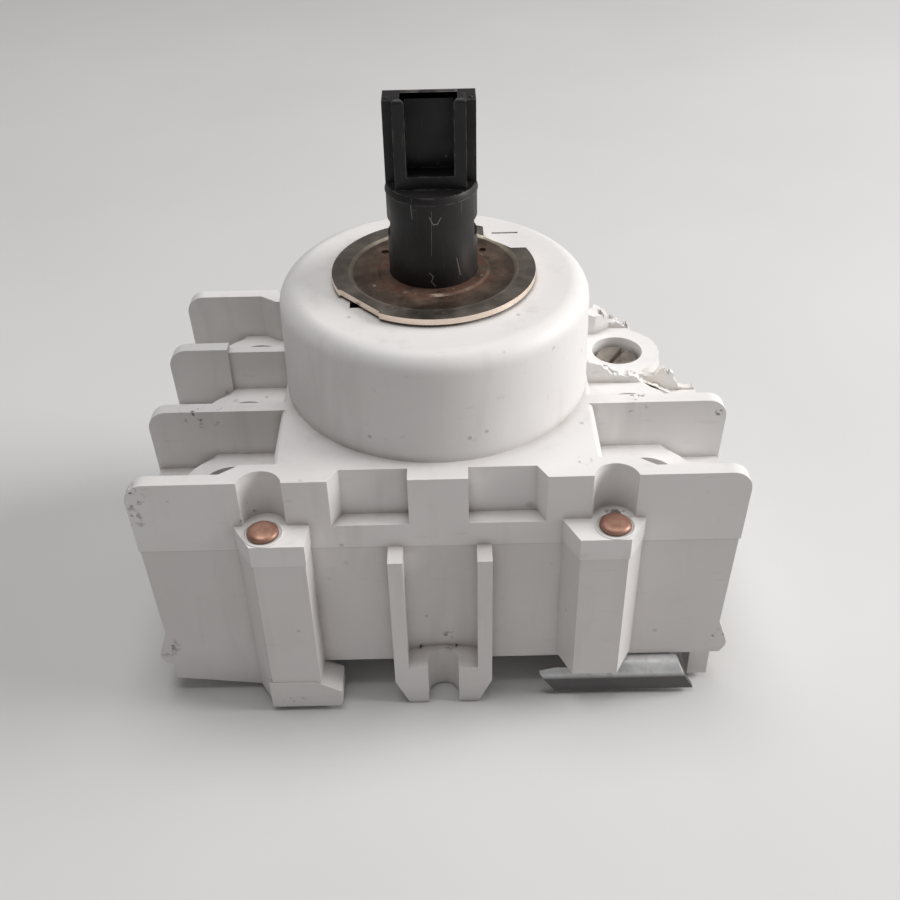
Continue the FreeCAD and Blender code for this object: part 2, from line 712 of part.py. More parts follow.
def make_upper_housing():
    deck_points = [("-deck_foot_reach", "seam"), ("deck_foot_reach", "seam"),
                   ("deck_reach", "fin_top"), ("-deck_reach", "fin_top")]
    deck = prism("deck", "XZ", deck_points, ("-half_depth", "half_depth"))
    added = [rounded("deck_rounded", deck, "deck_round",
                     lambda middle, edge: near(middle.z, value("fin_top")) and along(edge, Vector(0, 1, 0)))]
    for number in (1, 2, 3, 4):
        added.extend(fin(number))
    drum = rod("drum_wall", "Z", ("0", "0"), ("seam", "drum_top"), "drum_foot_radius", "drum_top_radius")
    added.append(rounded("drum", drum, "drum_round",
                         lambda middle, edge: near(middle.z, value("drum_top")) and edge.isClosed()))
    removed = []
    for side in SIDES:
        added.append(platform(side))
        for pole in POLES:
            place = (f"{side} * terminal_reach", pole_centre(pole))
            tag = f"{CIRCUIT_NAMES[side]}_{pole}"
            added.append(rod(f"boss_{tag}", "Z", place, ("seam", "boss_top"), "boss_radius", "boss_top_radius"))
            removed.append(rod(f"access_{tag}", "Z", place, ("seam - 1", "boss_top + 1"), "access_radius"))
            tongue_x = span_of(side, "contact_chamber_end + slip_gap", "chamber_start - slip_gap")
            half = "(busbar_wide / 2 - slip_gap)"
            tongue_y = (f"{pole_centre(pole)} - {half}", f"{pole_centre(pole)} + {half}")
            added.append(block(f"tongue_{tag}", tongue_x, tongue_y, ("busbar_top + slip_gap * 2", "seam + 0.5")))
        for end in SIDES:
            added.append(upper_pillar(side, end))
            added.append(groove_bulge(side, end))
            removed.append(recess_tool(side, end))
            tag = f"{SIDE_NAMES[side]}_{END_NAMES[end]}"
            place = (f"{side} * rivet_reach", f"{end} * rivet_row")
            groove_place = (f"{side} * rivet_reach", f"{end} * groove_row")
            removed.append(rod(f"rivet_groove_{tag}", "Z", groove_place, ("pillar_top", "fin_top + 1"),
                               "groove_radius"))
            removed.append(rod(f"rivet_hole_{tag}", "Z", place, ("pillar_joint - 1", "pillar_top + 1"),
                               "rivet_radius + rivet_gap"))
    # The hook side's third fin is lower and thinner near the deck.
    step_x = ("-step_reach", "-deck_foot_reach")
    step_y = ("pole_pitch / 2 - fin_thick / 2 - 1", "pole_pitch / 2 + fin_thick / 2 + 1")
    removed.append(block("fin_step_top", step_x, step_y, ("fin_top - step_drop", "fin_top + 1")))
    face = "pole_pitch / 2 - fin_thick / 2"
    removed.append(block("fin_step_face", step_x, (f"{face} - 1", f"{face} + step_depth"), ("boss_top", "fin_top + 1")))
    removed.append(broken_corner("broken_corner_upper", ("seam - 1", "fin_top + 1")))
    removed.append(torn_bulge())
    # Hollow under the deck and in the drum, with a bearing tube for the shaft.
    cavity = [block("deck_cavity", ("-cavity_reach", "cavity_reach"), ("-cavity_half_depth", "cavity_half_depth"),
                    ("seam - 1", "cavity_top")),
              rod("drum_cavity", "Z", ("0", "0"), ("cavity_top - 1", "drum_top - drum_wall"),
                  "drum_top_radius - drum_wall + 0.2")]
    tube = rod("bearing_tube", "Z", ("0", "0"), ("bearing_low", "drum_top - drum_wall / 2"), "bearing_radius")
    bore = rod("bearing_bore", "Z", ("0", "0"), ("bearing_low - 1", "drum_top + 1"), "shaft_radius + bearing_gap")
    window_x = ("-window_left", "window_wide - window_left")
    window_y = ("-window_front", "window_deep - window_front")
    window = block("drum_window", window_x, window_y, ("drum_top - drum_wall - 1", "drum_top + 1"))
    line = block("drum_index_line", ("index_line_start", "index_line_end"),
                 ("index_line_row", "index_line_row + index_line_wide"), ("drum_top - index_line_deep", "drum_top + 1"))
    shell = cut("upper_shell", fuse("upper_solid", *added), *removed, *cavity)
    sub_part("upper_housing", cut("upper_moulding", fuse("upper_with_tube", shell, tube), bore, window, line))


# Lower moulding: chambers for contacts and terminals, feet, rail hook and screw slots.

def lower_outline():
    """The section across the poles: straight sides over a low outward lip."""
    half = [("side_reach", "seam"), ("side_low_reach", "lip_top"), ("lip_reach", "lip_peak"),
            ("lip_reach - 0.1", "underside + 1.3"), ("lip_reach - 0.9", "underside")]
    return half + [(f"-({across})", up) for across, up in reversed(half)]


def lower_pillar(side, end):
    """The pillar below the joint, a little slimmer than the part of it above."""
    kind = SIDE_NAMES[side]
    sign = "-" if side < 0 else ""
    low = "hook_low" if side < 0 else "clip_pillar_low"
    parts = []
    for name, top, back in (("shaft", "seam", "lower_half_depth - 1"), ("stub", "pillar_joint", "half_depth")):
        face = "" if end > 0 else "-"
        start = low if name == "shaft" else "seam - 0.5"
        root = "lower_half_depth" if name == "shaft" else "half_depth"
        points = [
            (f"{sign}({kind}_pillar_out - pillar_slim)", f"{face}({back})"),
            (f"{sign}({kind}_pillar_out - pillar_slim)", f"{face}({root})"),
            (f"{sign}({kind}_pillar_front_out - pillar_slim)", f"{face}(pillar_face - pillar_slim)"),
            (f"{sign}({kind}_pillar_front_in + pillar_slim)", f"{face}(pillar_face - pillar_slim)"),
            (f"{sign}({kind}_pillar_in + pillar_slim)", f"{face}({root})"),
            (f"{sign}({kind}_pillar_in + pillar_slim)", f"{face}({back})"),
        ]
        if name == "stub":
            del points[1], points[3]
        parts.append(prism(f"lower_pillar_{name}_{kind}_{END_NAMES[end]}", "XY", points, (start, top)))
    return parts


def rail_hook(end):
    """The fixed hook at the foot of a hook-side pillar."""
    points = [
        ("-(hook_pillar_front_out + hook_bevel)", "hook_low + hook_bevel"), ("-hook_pillar_front_out", "hook_low"),
        ("-(hook_tip + hook_bevel)", "hook_low"), ("-hook_tip", "hook_low + 1"), ("-hook_tip", "hook_tip_high"),
        ("-hook_start", "hook_ledge"), ("-(hook_pillar_front_out + hook_bevel)", "hook_ledge"),
    ]
    return prism(f"rail_hook_{END_NAMES[end]}", "XZ", points, span_of(end, "pillar_face - hook_deep", "pillar_face"))


def screw_leg(end):
    """The ribbed middle leg with its hollow back, and its foot under the floor."""
    outline_points = [
        ("-leg_foot_reach", "0"), ("leg_foot_reach", "0"), ("leg_reach", "leg_chamfer_high"),
        ("leg_reach", "seam"), ("-leg_reach", "seam"), ("-leg_reach", "leg_chamfer_high"),
    ]
    foot_points = [point for point in outline_points]
    foot_points[3] = ("leg_reach", "floor_top")
    foot_points[4] = ("-leg_reach", "floor_top")
    tag = END_NAMES[end]
    return [
        prism(f"screw_leg_{tag}", "XZ", outline_points, span_of(end, "lower_half_depth - 1", "leg_face")),
        prism(f"screw_foot_{tag}", "XZ", foot_points, span_of(end, "half_depth - leg_back", "leg_face")),
    ]


def screw_leg_tools(end):
    """The concave channel between the ribs, and the open slot for an M4 screw."""
    tag = END_NAMES[end]
    half = value("leg_reach - leg_rib")
    depth = value("channel_deep - channel_edge")
    radius = (half * half + depth * depth) / (2 * depth)
    box = block(f"channel_box_{tag}", ("-(leg_reach - leg_rib)", "leg_reach - leg_rib"),
                span_of(end, "half_depth - channel_deep - 1", "leg_face + 1"), ("leg_floor", "seam + 1"))
    chord = "(leg_reach - leg_rib)"
    sag = "(channel_deep - channel_edge)"
    sweep = f"(({chord} * {chord} + {sag} * {sag}) / (2 * {sag}))"
    round_tool = rod(f"channel_round_{tag}", "Z", ("0", f"{end} * (half_depth - channel_deep + {sweep})"),
                     ("leg_floor - 1", "seam + 2"), sweep)
    tools = [common(f"channel_{tag}", box, round_tool)]
    tools.append(rod(f"slot_end_{tag}", "Z", ("0", f"{end} * slot_row"), ("-1", "leg_floor + 1"), "slot_radius"))
    tools.append(block(f"slot_mouth_{tag}", ("-slot_radius", "slot_radius"), span_of(end, "slot_row", "leg_face + 1"),
                       ("-1", "leg_floor + 1")))
    return tools


def make_lower_housing():
    depth = ("-lower_half_depth", "lower_half_depth")
    added = [prism("lower_core", "XZ", lower_outline(), depth)]
    removed = []
    for end in SIDES:
        tag = END_NAMES[end]
        wall_y = span_of(end, "lower_half_depth - wall", "lower_half_depth")
        skirt = [("-side_low_reach", "underside + 1"), ("-(side_low_reach - 0.2)", "skirt_low"),
                 ("-hook_pillar_out", "hook_low + 0.1"), ("-hook_pillar_front_out", "hook_low + 0.1"),
                 ("-hook_pillar_front_out", "underside + 1")]
        added.append(prism(f"skirt_{tag}", "XZ", skirt, wall_y))
        added.append(block(f"clip_foot_{tag}", ("clip_foot_in", "clip_foot_out"),
                           span_of(end, "lower_half_depth - clip_foot_deep", "lower_half_depth - 0.2"),
                           ("clip_foot_low", "underside + 1")))
        added.append(rail_hook(end))
        added.extend(screw_leg(end))
        removed.extend(screw_leg_tools(end))
        stud_y = f"{end} * stud_offset"
        added.append(rod(f"clip_stud_{tag}", "Z", ("stud_reach", stud_y),
                         ("clip_top - clip_sheet - guide_gap - stud_head_high", "underside + 1"), "stud_radius"))
        added.append(rod(f"clip_stud_head_{tag}", "Z", ("stud_reach", stud_y),
                         ("clip_top - clip_sheet - guide_gap - stud_head_high", "clip_top - clip_sheet - guide_gap"),
                         "stud_head_radius"))
        for side in SIDES:
            added.extend(lower_pillar(side, end))
            place = (f"{side} * rivet_reach", f"{end} * rivet_row")
            rivet_tag = f"{SIDE_NAMES[side]}_{tag}"
            removed.append(rod(f"rivet_bore_{rivet_tag}", "Z", place, ("-1", "pillar_joint + 1"),
                               "rivet_radius + rivet_gap"))
            removed.append(rod(f"rivet_seat_{rivet_tag}", "Z", place, ("-1", "rivet_tail_low + rivet_tail_high"),
                               "rivet_tail_radius + tail_gap"))
    added.append(block("clip_lug", ("clip_lug_in", "lug_end"), ("-clip_lug_wide / 2", "clip_lug_wide / 2"),
                       ("clip_low + 0.2", "underside + 1")))
    for pole in POLES:
        centre = pole_centre(pole)
        bay_y = (f"{centre} - bay_half", f"{centre} + bay_half")
        removed.append(block(f"contact_chamber_{pole}", ("-contact_chamber_end", "contact_chamber_end"), bay_y,
                             ("floor_top", "seam + 1")))
        for side in SIDES:
            tag = f"{CIRCUIT_NAMES[side]}_{pole}"
            removed.append(block(f"terminal_chamber_{tag}", span_of(side, "chamber_start", "chamber_end"), bay_y,
                                 ("floor_top", "seam + 1")))
            half = "(busbar_wide / 2 + slip_gap)"
            removed.append(block(f"busbar_slot_{tag}", span_of(side, "contact_chamber_end - 1", "chamber_start + 1"),
                                 (f"{centre} - {half}", f"{centre} + {half}"),
                                 ("busbar_low - slip_gap", "seam + 1")))
            removed.append(block(f"wire_entry_{tag}", span_of(side, "chamber_end - 1", "lip_reach + 1"),
                                 (f"{centre} - entry_wide / 2", f"{centre} + entry_wide / 2"),
                                 ("entry_low", "entry_top")))
    removed.append(block("carrier_passage", ("-passage_half", "passage_half"),
                         ("-pole_pitch * 1.2", "pole_pitch * 1.2"), ("passage_low", "seam + 1")))
    removed.append(common("broken_corner_low", broken_corner("corner_area", ("crack_low - 1", "seam + 1")),
                          crack_slope()))
    sub_part("lower_housing", cut("lower_moulding", fuse("lower_solid", *added), *removed))


def make_rivets():
    """Four tubular-headed rivets that hold the two mouldings together."""
    singles = []
    for side in SIDES:
        for end in SIDES:
            place = (f"{side} * rivet_reach", f"{end} * rivet_row")
            tag = f"{SIDE_NAMES[side]}_{END_NAMES[end]}"
            shank = rod(f"rivet_shank_{tag}", "Z", place,
                        ("rivet_tail_low", "pillar_top + rivet_head_high / 2"), "rivet_radius")
            head = rod(f"rivet_head_{tag}", "Z", place, ("pillar_top", "pillar_top + rivet_head_high"),
                       "rivet_head_radius", "rivet_head_radius - rivet_head_high * 0.9")
            tail = rod(f"rivet_tail_{tag}", "Z", place, ("rivet_tail_low", "rivet_tail_low + rivet_tail_high"),
                       "rivet_tail_radius")
            singles.append(fuse(f"rivet_{tag}", shank, head, tail))
    group = doc.addObject("Part::Compound", "rivets")
    group.Links = singles
    sub_part("housing_rivets", group)


def make_rail_clip():
    """Bent sheet that slides under the body: a web with a hooked flange at each end."""
    length = ("clip_tip - 1", "clip_end_low + 1")
    outer = block("clip_outer", length, ("-clip_face", "clip_face"), ("clip_low", "clip_top"))
    inner = block("clip_inner", ("clip_tip - 2", "clip_end_low + 2"),
                  ("clip_sheet - clip_face", "clip_face - clip_sheet"), ("clip_low - 3", "clip_top - clip_sheet"))
    outer_bend = rounded("clip_outer_bend", outer, "clip_bend",
                         lambda middle, edge: near(middle.z, value("clip_top")) and along(edge, Vector(1, 0, 0)))
    inner_bend = rounded("clip_inner_bend", inner, "clip_bend - clip_sheet",
                         lambda middle, edge: (near(middle.z, value("clip_top - clip_sheet"))
                                               and along(edge, Vector(1, 0, 0))))
    channel = cut("clip_channel", outer_bend, inner_bend)
    side_view = [
        ("clip_tip", "clip_tip_high"), ("clip_tip_base", "clip_low - 1"), ("clip_end_low + 0.5", "clip_low - 1"),
        ("clip_end_top", "clip_top + 0.1"), ("clip_shoulder", "clip_top + 0.1"),
        ("clip_tip_base", "clip_top - 0.4"),
    ]
    blank = common("clip_blank", channel, prism("clip_side_view", "XZ", side_view, ("-clip_face - 1", "clip_face + 1")))
    bend_row = "clip_face - clip_sheet"
    throat = block("clip_throat", ("clip_tip - 1", "clip_web_in"), (f"-({bend_row})", bend_row),
                   ("clip_low - 1", "clip_top + 1"))
    shoulder = [block(f"clip_shoulder_{END_NAMES[end]}", ("clip_tip - 1", "clip_web_in"),
                      span_of(end, "clip_face - clip_bend", "clip_face - clip_sheet"),
                      ("clip_low - 1", "clip_top + 1")) for end in SIDES]
    slots = []
    for end in SIDES:
        reach = "stud_radius + guide_gap"
        slots.append(block(f"stud_slot_{END_NAMES[end]}",
                           (f"stud_reach - clip_travel - ({reach})", f"stud_reach + {reach}"),
                           (f"{end} * stud_offset - ({reach})", f"{end} * stud_offset + {reach}"),
                           ("clip_low", "clip_top + 1")))
    lug_slot = block("lug_slot", ("clip_lug_in - clip_travel - guide_gap", "lug_end + guide_gap"),
                     ("-(clip_lug_wide / 2 + guide_gap)", "clip_lug_wide / 2 + guide_gap"),
                     ("clip_low", "clip_top + 1"))
    notches = [block(f"clip_foot_notch_{END_NAMES[end]}", ("clip_foot_in - clip_travel - guide_gap", "clip_end_low + 1"),
                     span_of(end, "lower_half_depth - clip_foot_deep - guide_gap", "lower_half_depth - 0.2 + guide_gap"),
                     ("clip_low - 1", "clip_top + 1")) for end in SIDES]
    sheet = cut("clip_sheet_cut", blank, throat, *shoulder, *slots, lug_slot, *notches)
    tab = block("clip_spring_tab", ("clip_tab_in", "clip_tab_out"), ("-clip_tab_wide / 2", "clip_tab_wide / 2"),
                ("clip_low", "clip_top - clip_sheet / 2"))
    sub_part("rail_clip", fuse("clip_with_tab", sheet, tab))


def make_clip_spring():
    """Compression spring between the clip's bent tab and the moulded lug."""
    piece = doc.addObject("Part::Feature", "clip_spring_shape")
    piece.Shape = coil("clip_spring_radius", "clip_spring_wire", SIZES["clip_spring_turns"],
                       "clip_lug_in - clip_tab_out - slip_gap * 2")
    start = value("clip_tab_out + slip_gap + clip_spring_wire / 2")
    middle = value("clip_low + clip_spring_radius + clip_spring_wire / 2 + slip_gap")
    piece.Placement = FreeCAD.Placement(Vector(start, 0, middle), Rotation(Vector(0, 1, 0), 90))
    sub_part("clip_spring", piece)


# Fixed contacts: terminal strip, an arm past the chamber wall and a turned-up tab with its tip.

def make_fixed_contact(side, pole):
    tag = f"{CIRCUIT_NAMES[side]}_{pole}"
    holder = body(f"fixed_{tag}")
    strip = rectangle(span_of(side, "busbar_start", "busbar_end"), ("-busbar_wide / 2", "busbar_wide / 2"))
    raised(holder, f"strip_{tag}", strip, "busbar_low", "busbar_top")
    arm = rectangle(span_of(side, "busbar_start", "busbar_start + arm_long"), ("-busbar_wide / 2", "tab_inner"))
    raised(holder, f"arm_{tag}", arm, "busbar_low", "busbar_top")
    tab = rectangle(span_of(side, "tab_start", "busbar_start + arm_long"), ("tab_face", "tab_inner"))
    raised(holder, f"tab_{tag}", tab, "busbar_low", "tab_top")
    bind(holder, Base__y=pole_centre(pole))
    tip = rod(f"fixed_tip_{tag}", "Y", (f"{side} * tip_reach", "tip_high"),
              (f"{pole_centre(pole)} + tab_face - tip_thick", f"{pole_centre(pole)} + tab_face + tab_thick / 2"),
              "tip_radius")
    sub_part(f"{CIRCUIT_NAMES[side]}_contact_{pole}", fuse(f"fixed_with_tip_{tag}", holder, tip))


def make_cage(side, pole):
    """Rising clamp cage: a closed band round the strip with a tapped top."""
    tag = f"{CIRCUIT_NAMES[side]}_{pole}"
    holder = body(f"cage_{tag}")
    raised(holder, f"cage_block_{tag}", rectangle(("-cage_long / 2", "cage_long / 2"),
                                                   ("-cage_wide / 2", "cage_wide / 2")), "cage_low", "cage_top")
    window = [("cage_side - cage_wide / 2", "cage_low + cage_floor"), ("cage_wide / 2 - cage_side", "cage_low + cage_floor"),
              ("cage_wide / 2 - cage_side", "cage_top - cage_nut"), ("cage_side - cage_wide / 2", "cage_top - cage_nut")]
    sunk(holder, f"cage_window_{tag}", window, "-cage_long", "cage_long", "YZ_Plane")
    bind(holder, Base__x=f"{side} * terminal_reach", Base__y=pole_centre(pole))
    thread = rod(f"cage_thread_{tag}", "Z", (f"{side} * terminal_reach", pole_centre(pole)),
                 ("cage_top - cage_nut - 1", "cage_top + 1"), "screw_radius + thread_gap")
    sub_part(f"{CIRCUIT_NAMES[side]}_cage_{pole}", cut(f"cage_tapped_{tag}", holder, thread))


def make_terminal_screw(side, pole):
    """Slotted cheese-head screw whose point bears on the strip."""
    tag = f"{CIRCUIT_NAMES[side]}_{pole}"
    holder = body(f"screw_{tag}")
    top = "screw_head_low + screw_head_high"
    turned(holder, f"screw_turned_{tag}", [
        ("0", "busbar_top + slip_gap"), ("screw_radius - 0.4", "busbar_top + slip_gap"),
        ("screw_radius", "busbar_top + slip_gap + 0.4"), ("screw_radius", "screw_head_low"),
        ("screw_head_radius", "screw_head_low"), ("screw_head_radius", f"{top} - 0.25"),
        ("screw_head_radius - 0.25", top), ("0", top)])
    sunk(holder, f"screw_slot_{tag}", rectangle(("-screw_head_radius - 1", "screw_head_radius + 1"),
                                                ("-screw_slot_wide / 2", "screw_slot_wide / 2")),
         f"{top} - screw_slot_deep", top)
    holder.Placement = FreeCAD.Placement(Vector(), Rotation(Vector(0, 0, 1), value("screw_turned")))
    bind(holder, Base__x=f"{side} * terminal_reach", Base__y=pole_centre(pole))
    sub_part(f"{CIRCUIT_NAMES[side]}_screw_{pole}", holder)


# Moving contacts: one sliding carrier with a sprung bridge in each of its three windows.

def make_carrier():
    last = pole_centre(3)
    first = pole_centre(1)
    bar = block("carrier_bar", ("-carrier_half", "carrier_half"),
                (f"{first} + window_back - carrier_web", f"{last} + bridge_front + carrier_web"),
                ("carrier_low", "carrier_high"))
    tools = []
    for pole in POLES:
        centre = pole_centre(pole)
        tools.append(block(f"carrier_window_{pole}", ("-carrier_half - 1", "carrier_half + 1"),
                           (f"{centre} + window_back - slip_gap", f"{centre} + bridge_front + slip_gap"),
                           ("bridge_low - slip_gap", "bridge_low + bridge_high + slip_gap")))
    pin = rod("carrier_pin", "Z", ("0", "cam_pin_start"), ("carrier_high - 1", "cam_top - cam_pin_gap"),
              "cam_pin_radius")
    sub_part("contact_carrier", fuse("carrier_with_pin", cut("carrier_frame", bar, *tools), pin))


def make_bridge(pole):
    centre = pole_centre(pole)
    bar = block(f"bridge_bar_{pole}", ("-bridge_reach", "bridge_reach"),
                (f"{centre} + bridge_back", f"{centre} + bridge_front"), ("bridge_low", "bridge_low + bridge_high"))
    tips = [rod(f"bridge_tip_{pole}_{SIDE_NAMES[side]}", "Y", (f"{side} * tip_reach", "tip_high"),
                (f"{centre} + bridge_front - bridge_thick / 2", f"{centre} + tip_face"), "tip_radius")
            for side in SIDES]
    sub_part(f"bridge_contact_{pole}", fuse(f"bridge_{pole}", bar, *tips))


def make_contact_spring(pole):
    piece = doc.addObject("Part::Feature", f"contact_spring_shape_{pole}")
    piece.Shape = coil("contact_spring_radius", "contact_spring_wire", SIZES["contact_spring_turns"],
                       "contact_spring_long - slip_gap")
    start = Vector(0, value(f"{pole_centre(pole)} + window_back + contact_spring_wire / 2"), value("tip_high"))
    piece.Placement = FreeCAD.Placement(start, Rotation(Vector(1, 0, 0), -90))
    sub_part(f"contact_spring_{pole}", piece)


# Shaft, cam disc, snap spring, cam screw and the steel plate on the drum.

def cam_slot():
    """Spiral slot that moves the carrier's pin in proportion to the shaft's quarter turn."""
    start = value("cam_pin_start")
    rise = value("contact_travel") / (math.pi / 2)
    half = value("cam_pin_radius + cam_pin_gap")
    over = math.radians(4)
    steps = 24

    def edge_point(turn, offset):
        radius = start + rise * turn
        slope = math.atan2(rise, radius)
        angle = math.pi / 2 + turn
        normal = angle - slope
        return Vector(radius * math.cos(angle) + offset * math.cos(normal),
                      radius * math.sin(angle) + offset * math.sin(normal), 0)

    turns = [-over + (math.pi / 2 + 2 * over) * step / steps for step in range(steps + 1)]
    outer = Part.BSplineCurve()
    outer.interpolate([edge_point(turn, half) for turn in turns])
    inner = Part.BSplineCurve()
    inner.interpolate([edge_point(turn, -half) for turn in reversed(turns)])
    closing = [Part.LineSegment(outer.EndPoint, inner.StartPoint), Part.LineSegment(inner.EndPoint, outer.StartPoint)]
    ring = Part.Wire([outer.toShape(), closing[0].toShape(), inner.toShape(), closing[1].toShape()])
    slot = Part.Face(ring).extrude(Vector(0, 0, value("cam_thick") + 2))
    for turn in (turns[0], turns[-1]):
        middle = (edge_point(turn, half) + edge_point(turn, -half)) / 2
        slot = slot.fuse(Part.makeCylinder(half, value("cam_thick") + 2, middle))
    slot.translate(Vector(0, 0, value("cam_low") - 1))
    return slot


def make_cam_disc():
    disc = rod("cam_plate", "Z", ("0", "0"), ("cam_low", "cam_top"), "cam_radius")
    hub = rod("cam_hub", "Z", ("0", "0"), ("cam_top - 0.5", "hub_top"), "cam_hub_radius")
    half = "(shaft_square / 2 + square_gap)"
    socket = block("cam_socket", (f"-{half}", half), (f"-{half}", half), ("cam_low - 1", "hub_top + 1"))
    slot = doc.addObject("Part::Feature", "cam_slot")
    slot.Shape = cam_slot()
    leg = rod("cam_spring_hole", "Z", ("snap_spring_radius", "-snap_leg_offset"),
              ("cam_top - snap_leg_deep - 0.5", "cam_top + 1"), "snap_spring_wire / 2 + slip_gap")
    sub_part("cam_disc", cut("cam_cut", fuse("cam_body", disc, hub), socket, slot, leg))


def make_shaft():
    square = block("shaft_end", ("-shaft_square / 2", "shaft_square / 2"), ("-shaft_square / 2", "shaft_square / 2"),
                   ("cam_low", "hub_top + 1"))
    stem = rod("shaft_stem", "Z", ("0", "0"), ("hub_top", "collar_low + 0.5"), "shaft_radius")
    flange = rod("shaft_flange", "Z", ("0", "0"), ("flange_low", "flange_low + flange_thick"), "flange_radius")
    collar = rod("shaft_collar", "Z", ("0", "0"), ("collar_low", "collar_high"), "collar_radius", "collar_radius - 0.3")
    rear = block("coupling_rear", ("-coupling_half", "coupling_half"), ("ear_start", "coupling_half_deep"),
                 ("collar_high - 0.5", "coupling_top"))
    front = block("coupling_front", ("-ear_half", "ear_half"), ("-coupling_half_deep", "0"),
                  ("collar_high - 0.5", "ear_top"))
    socket = block("coupling_socket", ("-socket_half", "socket_half"),
                   ("-coupling_half_deep - 1", "socket_deep - coupling_half_deep"), ("socket_floor", "ear_top + 1"))
    necks = [block(f"shaft_neck_{SIDE_NAMES[side]}", span_of(side, "neck_reach", "shaft_radius + 1"),
                   ("-shaft_radius", "shaft_radius"), ("neck_high - neck_tall / 2", "neck_high + neck_tall / 2"))
             for side in SIDES]
    thread = rod("cam_screw_hole", "Z", ("0", "0"), ("cam_low - 1", "cam_low + cam_screw_long + 0.5"),
                 "cam_screw_radius + thread_gap")
    leg = rod("flange_spring_hole", "Z", ("snap_spring_radius", "snap_leg_offset"),
              ("flange_low - 1", "flange_low + snap_leg_deep + 0.3"), "snap_spring_wire / 2 + slip_gap")
    solid = fuse("shaft_solid", square, stem, flange, collar, rear, front)
    sub_part("operating_shaft", cut("shaft_cut", solid, socket, *necks, thread, leg))


def make_snap_spring():
    """Torsion spring round the hub, with an upright leg off each end of its coils."""
    coils = doc.addObject("Part::Feature", "snap_coils")
    coils.Shape = coil("snap_spring_radius", "snap_spring_wire", SIZES["snap_spring_turns"],
                       "spring_high - spring_low")
    coils.Placement = FreeCAD.Placement(Vector(0, 0, value("spring_low + snap_spring_wire / 2")), Rotation())
    lower_leg = rod("snap_lower_leg", "Z", ("snap_spring_radius", "-snap_leg_offset"),
                    ("cam_top - snap_leg_deep", "spring_low + snap_spring_wire"), "snap_spring_wire / 2")
    upper_leg = rod("snap_upper_leg", "Z", ("snap_spring_radius", "snap_leg_offset"),
                    ("spring_high - snap_spring_wire", "flange_low + snap_leg_deep"), "snap_spring_wire / 2")
    group = doc.addObject("Part::Compound", "snap_spring_group")
    group.Links = [coils, lower_leg, upper_leg]
    sub_part("snap_spring", group)


def make_cam_screw():
    """Pan-head screw that holds the cam disc on the square end."""
    holder = body("cam_screw_body")
    low = "cam_low - cam_screw_head_high"
    turned(holder, "cam_screw_turned", [
        ("0", low), ("cam_screw_head_radius - 0.5", low), ("cam_screw_head_radius", f"{low} + 0.5"),
        ("cam_screw_head_radius", "cam_low"), ("cam_screw_radius", "cam_low"),
        ("cam_screw_radius", "cam_low + cam_screw_long"), ("0", "cam_low + cam_screw_long")])
    sub_part("cam_screw", holder)


def make_plate():
    """Dished steel plate pressed on the shaft, with a corner notch on each side."""
    holder = body("plate_body")
    bore = "shaft_radius + thread_gap"
    turned(holder, "plate_dish", [
        (bore, "plate_low"), ("plate_step_radius", "plate_low"), ("plate_step_radius + 0.5", "plate_rim_low"),
        ("plate_radius", "plate_rim_low"), ("plate_radius", "plate_rim"),
        ("plate_step_radius", "plate_rim"), ("plate_step_radius - 0.5", "plate_floor"),
        ("plate_collar_radius", "plate_floor"), ("plate_collar_radius - 0.4", "plate_rim"), (bore, "plate_rim")])
    for side, worn in ((-1, "worn_"), (1, "")):
        near_end, high, far_end, low = [f"{side} * {worn}notch_{edge}" for edge in ("near", "high", "far", "low")]
        notch = [(near_end, f"{side} * plate_radius"), (near_end, high), (far_end, low),
                 (f"{side} * plate_radius", low), (f"{side} * plate_radius", f"{side} * plate_radius")]
        sunk(holder, f"plate_notch_{SIDE_NAMES[side]}", notch, "plate_low - 1", "plate_rim + 1")
    holes = [rod(f"plate_hole_{SIDE_NAMES[side]}", "Z", (f"{side} * plate_hole_reach", "plate_hole_back"),
                 ("plate_low - 1", "plate_rim + 1"), "plate_hole_radius")
             for side in SIDES]
    sub_part("retaining_plate", cut("plate_pierced", holder, *holes))


make_upper_housing()
make_lower_housing()
make_rivets()
make_rail_clip()
make_clip_spring()
for side in SIDES:
    for pole in POLES:
        make_fixed_contact(side, pole)
        make_cage(side, pole)
        make_terminal_screw(side, pole)
make_carrier()
for pole in POLES:
    make_bridge(pole)
    make_contact_spring(pole)
make_cam_disc()
make_shaft()
make_snap_spring()
make_cam_screw()
make_plate()

doc.recompute()
faults = []
for piece in doc.Objects:
    if "Invalid" in piece.State or "Error" in piece.State:
        faults.append(f"{piece.Name}: {piece.State}")
for label, piece in nodes.items():
    if piece.Shape.isNull() or not piece.Shape.isValid():
        faults.append(f"{label}: no valid shape")
if faults:
    raise RuntimeError("\n".join(faults))
for label, piece in nodes.items():
    piece.Shape.exportStep(f"parts/{label}.step")
    print(label, len(piece.Shape.Solids), round(piece.Shape.Volume, 1))
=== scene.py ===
"""Looks of a used three-pole rotary switch disconnector with one corner broken off."""
import math

import bmesh
import bpy
from mathutils import Matrix, Vector, noise


